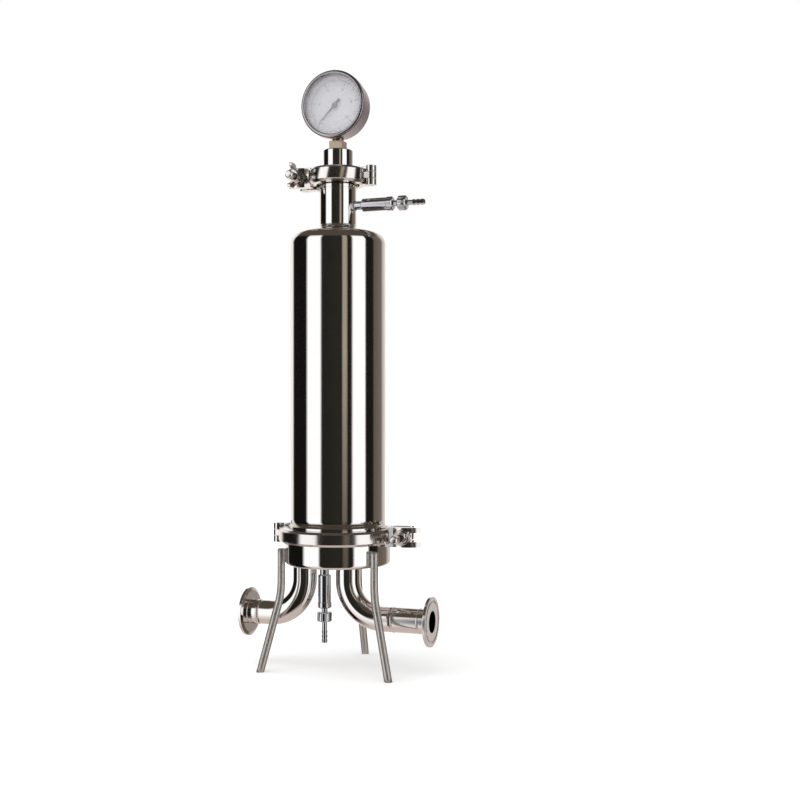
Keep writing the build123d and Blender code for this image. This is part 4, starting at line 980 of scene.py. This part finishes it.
class DressValves(bpy.types.Operator):
    """Vent and drain valves: turned bodies, gland nuts and spindles with hose nozzles"""

    bl_idname = "filter_housing.valves"
    bl_label = "Valves"

    def execute(self, context):
        s = in_mm(context.scene.valve_sizes)
        steel = finishes["valve_steel"]
        neck = context.scene.bell_sizes.neck / MM / 2
        vent = {"origin": (0, 0, s.vent_level), "along": (1, 0, 0), "across": (0, 0, 1)}
        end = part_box("vent_valve_gland")[0].x / MM
        self.body("vent", vent, neck - s.saddle, s.vent_stub, neck + s.vent_shoulder, end, s, steel)
        floor = context.scene.base_sizes.floor / MM
        drain = {"origin": (-s.drain_offset, 0, floor), "along": (0, 0, -1), "across": (1, 0, 0)}
        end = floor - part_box("drain_valve_gland")[1].z / MM
        self.body("drain", drain, 0, s.drain_stub, s.drain_shoulder, end, s, steel)
        for node in ("vent_valve_spindle", "drain_valve_spindle"):
            softened(node, steel, s.edge)
        for node in ("vent_valve_seal", "drain_valve_seal"):
            softened(node, finishes["seal_ptfe"], s.seal_edge)
        return {"FINISHED"}

    @staticmethod
    def body(name, axis, start, stub_od, shoulder, end, s, steel):
        """Turned barrel on a stub with its weld, and the gland nut that closes it.

        `start`, `shoulder` and `end` are places along the valve's axis.
        """
        barrel, stub, bore, passage = s.barrel / 2, stub_od / 2, s.bore / 2, s.passage / 2
        step = (barrel - stub) / 2
        line = rounded(
            [
                (passage, start, TOUCH),
                (stub, start, TOUCH),
                (stub, shoulder - step, 0.6),
                (barrel, shoulder, 0.5),
                (barrel, end, 0.25),
                (bore, end, 0.1),
                (bore, shoulder + s.bore_foot, 0.1),
                (passage, shoulder + s.bore_foot, 0.1),
            ]
        )
        bead = seam(stub, start + 0.6, s.bead, width=0.8, ripples=36, **axis)
        piece = new_piece(f"{name}_valve_barrel", [skin(turned(line, count=96, **axis), True), bead], steel)
        stands_for(piece, f"{name}_valve_body")
        gland, stem, tip = s.gland / 2, s.stem / 2, end + s.gland_length
        line = rounded(
            [
                (bore, end, 0.1),
                (gland, end, 0.3),
                (gland, tip - 1, 0.4),
                (gland - 1, tip, 0.4),
                (stem, tip, 0.15),
                (stem, tip - s.lip, 0.1),
                (bore, tip - s.lip, 0.1),
            ]
        )
        piece = new_piece(f"{name}_valve_gland_nut", [skin(turned(line, count=96, **axis), True)], steel)
        stands_for(piece, f"{name}_valve_gland")


class DressGauge(bpy.types.Operator):
    """Pressure gauge: case, bezel, lens, dial with its printed scale, pointer and stem"""

    bl_idname = "filter_housing.gauge"
    bl_label = "Gauge"

    def execute(self, context):
        s = in_mm(context.scene.gauge_sizes)
        steel = finishes["gauge_steel"]
        axis = {"origin": (0, 0, s.level), "along": (0, -1, 0), "across": (1, 0, 0)}
        case, bezel = s.case / 2, s.bezel / 2
        lens_front = s.front - s.lip
        lens_back = lens_front - s.lens
        wall, fold = s.wall, case * 0.1  # the fold is the case's chamfered rear corner
        line = rounded(
            [
                (0, -s.back),
                (case - fold, -s.back, 1.6),
                (case, -s.back + fold, 1.6),
                (case, lens_back, 0.1),
                (case - wall, lens_back, 0.1),
                (case - wall, -s.back + fold + wall * 0.4, 1.0),
                (case - fold - wall * 0.5, -s.back + wall, 1.0),
                (0, -s.back + wall),
            ],
            closed=False,
        )
        cup = new_piece("gauge_case_pressed", [skin(turned(line, **axis), False)], steel)
        stands_for(cup, "gauge_case")
        sight, seat, rear = case - wall - s.lip / 2, case + 0.05, s.front - s.bezel_depth
        line = rounded(
            [
                (seat, rear, 0.1),
                (bezel - s.bezel_roll, rear, 0.25),
                (bezel, rear + s.bezel_roll, 0.3),
                (bezel, s.front, 2.2),
                (sight + 0.9, s.front, 0.8),
                (sight, lens_front, 0.2),
                (seat, lens_front, 0.1),
            ]
        )
        ring = new_piece("gauge_bezel_rolled", [skin(turned(line, count=200, **axis), True)], steel)
        stands_for(ring, "gauge_bezel")
        line = rounded(
            [(0, lens_back), (case, lens_back, 0.15), (case, lens_front, 0.15), (0, lens_front)], closed=False
        )
        lens = new_piece("gauge_glass", [skin(turned(line, **axis), False)], finishes["lens_glass"])
        stands_for(lens, "gauge_lens")
        hole, rim, dial_face = s.dial_hole / 2, case - wall, s.dial_back + s.dial
        line = rounded(
            [(hole, s.dial_back, 0.1), (rim, s.dial_back, 0.15), (rim, dial_face, 0.15), (hole, dial_face, 0.1)]
        )
        plate = new_piece("gauge_dial_plate", [skin(turned(line, **axis), True)], finishes["dial_enamel"])
        stands_for(plate, "gauge_dial")
        self.scale(s, dial_face)
        self.numbers(s, dial_face)
        softened("gauge_pointer", finishes["pointer_black"], s.pointer_edge, segments=2)
        softened("gauge_stem", finishes["stem_brass"], s.stem_edge)
        return {"FINISHED"}

    @staticmethod
    def scale(s, face):
        """Tick marks and the fine arc that they stand on, printed 0.03 mm proud of the dial.

        A mark at angle a, from straight up, is a box along (sin a, cos a) that ends at the scale radius.
        The marks are even, ten to a number, long at each number and middling half way. The arc is a
        small rectangle carried along the scale radius.
        """
        steps = s.divisions * 10
        turn = np.linspace(-s.sweep / 2, s.sweep / 2, steps + 1)
        place = np.arange(steps + 1)
        long, middle = place % 10 == 0, place % 5 == 0
        reach = np.where(long, s.long_tick, np.where(middle, s.middle_tick, s.short_tick))
        width = np.where(long, 0.32, np.where(middle, 0.22, 0.13))
        across = np.stack([-width, width, width, -width], 1)
        outward = np.stack([s.scale_radius - reach, s.scale_radius - reach, 0 * reach, 0 * reach], 1)
        outward[:, 2:] = s.scale_radius
        x = outward * np.sin(turn)[:, None] + across * np.cos(turn)[:, None]
        z = outward * np.cos(turn)[:, None] - across * np.sin(turn)[:, None]
        corner = np.stack([x, np.full_like(x, -face), z + s.level], -1)
        points = np.concatenate([corner + (0, 0.02, 0), corner - (0, 0.03, 0)], 1).reshape(-1, 3)
        box = np.array([[0, 1, 2, 3], [7, 6, 5, 4], [0, 4, 5, 1], [1, 5, 6, 2], [2, 6, 7, 3], [3, 7, 4, 0]])
        quads = (np.arange(steps + 1)[:, None, None] * 8 + box).reshape(-1, 4)
        arc = np.linspace(-s.sweep / 2, s.sweep / 2, 120)[:, None]
        band = np.array([(0, -0.02), (0.22, -0.02), (0.22, 0.03), (0, 0.03)])
        r, d = s.scale_radius + band[:, 0], face + band[:, 1]
        rings = np.stack([r * np.sin(arc), -d + 0 * arc, r * np.cos(arc) + s.level], -1)
        parts = [(points, quads, np.zeros((0, 3), int)), skin(rings, False)]
        ticks = new_piece("gauge_scale_print", parts, finishes["dial_print"], smooth=False)
        rides_with(ticks, "gauge_dial")

    @staticmethod
    def numbers(s, face):
        """Numbers inside the marks, two to a step, upright, each a text made a mesh and moved to its place."""
        for count in range(s.divisions + 1):
            text = bpy.data.curves.new("number", "FONT")
            text.body = str(count * 2)
            text.size = s.number_height
            text.align_x, text.align_y = "CENTER", "CENTER"
            text.extrude = 0.03
            shape = bpy.data.objects.new("number", text)
            mesh = bpy.data.meshes.new_from_object(shape)
            bpy.data.objects.remove(shape)
            co = np.zeros(len(mesh.vertices) * 3)
            mesh.vertices.foreach_get("co", co)
            co = co.reshape(-1, 3)
            a = -s.sweep / 2 + s.sweep * count / s.divisions
            x, z = (s.scale_radius - s.number_inset) * np.array([sin(a), cos(a)])
            flat = np.stack([co[:, 0] + x, -face - 0.01 - co[:, 2], co[:, 1] + z + s.level], 1)
            mesh.vertices.foreach_set("co", (flat * MM).ravel())
            mesh.update()
            mesh.materials.clear()
            mesh.materials.append(finishes["dial_print"])
            digit = bpy.data.objects.new(f"gauge_number_{count * 2}", mesh)
            bpy.context.scene.collection.objects.link(digit)
            rides_with(digit, "gauge_dial")


class DressInside(bpy.types.Operator):
    """Finishes of the cartridge, its socket and the gauge's works, whose CAD shapes stay"""

    bl_idname = "filter_housing.inside"
    bl_label = "Inside"

    def execute(self, context):
        for slot, nodes in FINISHES.items():
            for node in nodes:
                piece = frame["nodes"][node]
                if piece.hide_render:
                    continue
                for place in piece.material_slots:
                    place.material = finishes[slot]
                if not piece.material_slots:
                    piece.data.materials.append(finishes[slot])
        return {"FINISHED"}


class SetStage(bpy.types.Operator):
    """Pale floor, studio cards for the steel to mirror, softbox and camera"""

    bl_idname = "filter_housing.stage"
    bl_label = "Stage"

    def execute(self, context):
        s = context.scene.stage_sizes
        self.floor(s)
        self.world(s)
        lamp = bpy.data.lights.new("Softbox", "AREA")
        lamp.shape, lamp.size, lamp.size_y, lamp.energy = "RECTANGLE", 1.6, 1.2, s.key
        box = bpy.data.objects.new("Softbox", lamp)
        box.location = (-0.35, -0.5, 1.7)
        box.rotation_euler = (radians(20), radians(-10), 0)
        box.visible_glossy = False
        context.scene.collection.objects.link(box)
        lens = bpy.data.cameras.new("Camera")
        lens.lens, lens.sensor_width, lens.shift_y = s.focal_length, 36.0, s.rise
        eye = bpy.data.objects.new("Camera", lens)
        eye.location = (s.distance * sin(s.azimuth), -s.distance * cos(s.azimuth), s.height)
        eye.rotation_euler = (pi / 2, 0, s.azimuth - s.aim)
        context.scene.collection.objects.link(eye)
        context.scene.camera = eye
        context.scene.view_settings.view_transform = "Standard"
        return {"FINISHED"}

    @staticmethod
    def floor(s):
        """Flat floor of even quads, in white paper.

        For the camera it also glows, by 0.3 near the legs and by 1 from 0.95 m on, so that it keeps the
        shadow and goes over into the white background.
        """
        count = 9
        side = np.linspace(-s.floor / 2, s.floor / 2, count)
        x, y = np.meshgrid(side, side)
        points = np.stack([x, y, 0 * x], -1).reshape(-1, 3)
        i, j = np.meshgrid(np.arange(count - 1), np.arange(count - 1))
        first = (i * count + j).ravel()
        quads = np.stack([first, first + 1, first + count + 1, first + count], 1)
        mesh = bpy.data.meshes.new("Floor")
        mesh.from_pydata(points.tolist(), [], quads.tolist())
        floor = bpy.data.objects.new("Floor", mesh)
        floor.visible_glossy = False
        bpy.context.scene.collection.objects.link(floor)
        material, tree = new_material("Matt paper")
        path = add(tree, "LightPath").outputs["Is Camera Ray"]
        paper = add(tree, "BsdfDiffuse", {"Color": linear("F4F4F4")})
        place = add(tree, "TexCoord").outputs["Object"]
        away = add(tree, "VectorMath", links={0: place}, operation="LENGTH").outputs["Value"]
        fade = ramp(tree, away, [(0.35, grey(0.3)), (0.95, grey(1.0))], "EASE")  # places are metres
        glow = add(tree, "Emission", {"Color": grey(1.0)}, {"Strength": fade.outputs["Color"]})
        lit = add(tree, "AddShader")
        tree.links.new(paper.outputs["BSDF"], lit.inputs[0])
        tree.links.new(glow.outputs["Emission"], lit.inputs[1])
        pick = add(tree, "MixShader", links={"Fac": path})
        tree.links.new(paper.outputs["BSDF"], pick.inputs[1])
        tree.links.new(lit.outputs["Shader"], pick.inputs[2])
        add(tree, "OutputMaterial", links={"Surface": pick.outputs["Shader"]})
        mesh.materials.append(material)

    @staticmethod
    def world(s):
        """Even light for matt surfaces, white for the camera, and upright cards and flags for polished steel.

        A card's place is its angle round the housing from the camera's side, to the right positive.
        Between two places the colour goes evenly from one to the next.
        """
        cards = [
            (-180, "E9E4DE"), (-141, "E9E4DE"), (-132, "141210"), (-83, "11100E"), (-76, "FFFFFF"),
            (-44, "FFFFFF"), (-39, "201F1B"), (2, "262520"), (19, "1B1A17"), (32, "1F1D1A"), (37, "FFFFFF"),
            (67, "FFFFFF"), (71, "161412"), (93, "1C1A17"), (97, "5A534A"), (128, "6E665D"), (138, "B2AAA7"),
            (152, "CCC5C1"), (180, "E4E0DC"),
        ]
        world = bpy.data.worlds.new("Studio")
        bpy.context.scene.world = world
        world.use_nodes = True
        tree = world.node_tree
        tree.nodes.clear()
        way = add(tree, "TexCoord").outputs["Generated"]
        near = (sin(s.azimuth), -cos(s.azimuth), 0)
        right = (cos(s.azimuth), sin(s.azimuth), 0)
        toward = add(tree, "VectorMath", {1: near}, {0: way}, operation="DOT_PRODUCT").outputs["Value"]
        aside = add(tree, "VectorMath", {1: right}, {0: way}, operation="DOT_PRODUCT").outputs["Value"]
        turn = add(tree, "Math", links={0: aside, 1: toward}, operation="ARCTAN2").outputs[0]
        part = add(tree, "Math", {1: 1 / (2 * pi), 2: 0.5}, {0: turn}, operation="MULTIPLY_ADD").outputs[0]
        wall = ramp(tree, part, [((a + 180) / 360, linear(c)) for a, c in cards])
        height = add(tree, "SeparateXYZ", links={"Vector": way}).outputs["Z"]
        # A narrow strip light a little right of the camera, dimmer low down.
        slat = ramp(
            tree, part, [(0.524, grey(0.0)), (0.533, grey(1.0)), (0.556, grey(1.0)), (0.565, grey(0.0))]
        )
        lift = add(tree, "Math", {1: 2.5, 2: 0.5}, {0: height}, operation="MULTIPLY_ADD").outputs[0]
        low = ramp(tree, lift, [(0.2, grey(0.25)), (0.6, grey(1.0))])
        shares = {0: slat.outputs["Color"], 1: low.outputs["Color"]}
        strip = add(tree, "Math", links=shares, operation="MULTIPLY")
        # The cards darken a little towards the floor, and ceiling and floor have a tone of their own.
        down = add(tree, "Math", {1: -1.0}, {0: height}, operation="MULTIPLY").outputs[0]
        dusk = ramp(tree, down, [(0.2, grey(0.0)), (0.65, grey(1.0))])
        layer = add(
            tree,
            "MixRGB",
            {"Color2": linear("D6CBC6")},
            {"Fac": dusk.outputs["Color"], "Color1": wall.outputs["Color"]},
            blend_type="MULTIPLY",
        ).outputs["Color"]
        overhead = ramp(tree, height, [(0.45, grey(0.0)), (0.62, grey(1.0))])
        under = ramp(tree, down, [(0.7, grey(0.0)), (0.86, grey(1.0))])
        for hue, share in (
            ("9A9080", strip.outputs[0]),
            ("49413A", overhead.outputs["Color"]),
            ("BDB0AA", under.outputs["Color"]),
        ):
            mix = add(tree, "MixRGB", {"Color2": linear(hue)}, {"Fac": share, "Color1": layer})
            layer = mix.outputs["Color"]
        mirrored = add(tree, "Background", {"Strength": s.reflections}, {"Color": layer}).outputs["Background"]
        even = add(tree, "Background", {"Color": grey(1.0), "Strength": s.ambient}).outputs["Background"]
        white = add(tree, "Background", {"Color": grey(1.0), "Strength": 1.0}).outputs["Background"]
        path = add(tree, "LightPath")
        first = add(tree, "MixShader", links={"Fac": path.outputs["Is Glossy Ray"], 1: even, 2: mirrored})
        seen = add(
            tree,
            "Math",
            links={0: path.outputs["Is Camera Ray"], 1: path.outputs["Is Transmission Ray"]},
            operation="MAXIMUM",
        )
        final = add(tree, "MixShader", links={"Fac": seen.outputs[0], 1: first.outputs[0], 2: white})
        add(tree, "OutputWorld", links={"Surface": final.outputs[0]})


class SidePanel(bpy.types.Panel):
    """Lists the housing's operators and their sizes"""

    bl_idname = "VIEW3D_PT_filter_housing"
    bl_label = "Filter housing"
    bl_space_type = "VIEW_3D"
    bl_region_type = "UI"
    bl_category = "Filter housing"

    def draw(self, context):
        for operator, group in STEPS:
            box = self.layout.box()
            box.operator(operator.bl_idname)
            if group:
                sizes = getattr(context.scene, group)
                for key in sizes.__annotations__:
                    box.prop(sizes, key)


GROUPS = {
    "port_sizes": PortSizes,
    "base_sizes": BaseSizes,
    "bell_sizes": BellSizes,
    "valve_sizes": ValveSizes,
    "clamp_sizes": ClampSizes,
    "gauge_sizes": GaugeSizes,
    "stage_sizes": StageSizes,
    "finish_colours": FinishColours,
}
STEPS = (
    (MakeFinishes, "finish_colours"),
    (DressBase, "base_sizes"),
    (DressLegs, None),
    (DressPorts, "port_sizes"),
    (DressBell, "bell_sizes"),
    (DressNeck, None),
    (DressClamps, "clamp_sizes"),
    (DressValves, "valve_sizes"),
    (DressGauge, "gauge_sizes"),
    (DressInside, None),
    (SetStage, "stage_sizes"),
)


def register():
    """Register the sizes, the operators and the panel."""
    for name, group in GROUPS.items():
        bpy.utils.register_class(group)
        setattr(bpy.types.Scene, name, bpy.props.PointerProperty(type=group))
    for operator, _ in STEPS:
        bpy.utils.register_class(operator)
    bpy.utils.register_class(SidePanel)


def unregister():
    """Undo register, in reverse."""
    bpy.utils.unregister_class(SidePanel)
    for operator, _ in reversed(STEPS):
        bpy.utils.unregister_class(operator)
    for name, group in reversed(list(GROUPS.items())):
        delattr(bpy.types.Scene, name)
        bpy.utils.unregister_class(group)


def main():
    """Dress the housing and set the stage."""
    register()
    for operator, _ in STEPS:
        group, name = operator.bl_idname.split(".")
        getattr(getattr(bpy.ops, group), name)()


if __name__ == "__main__":
    main()
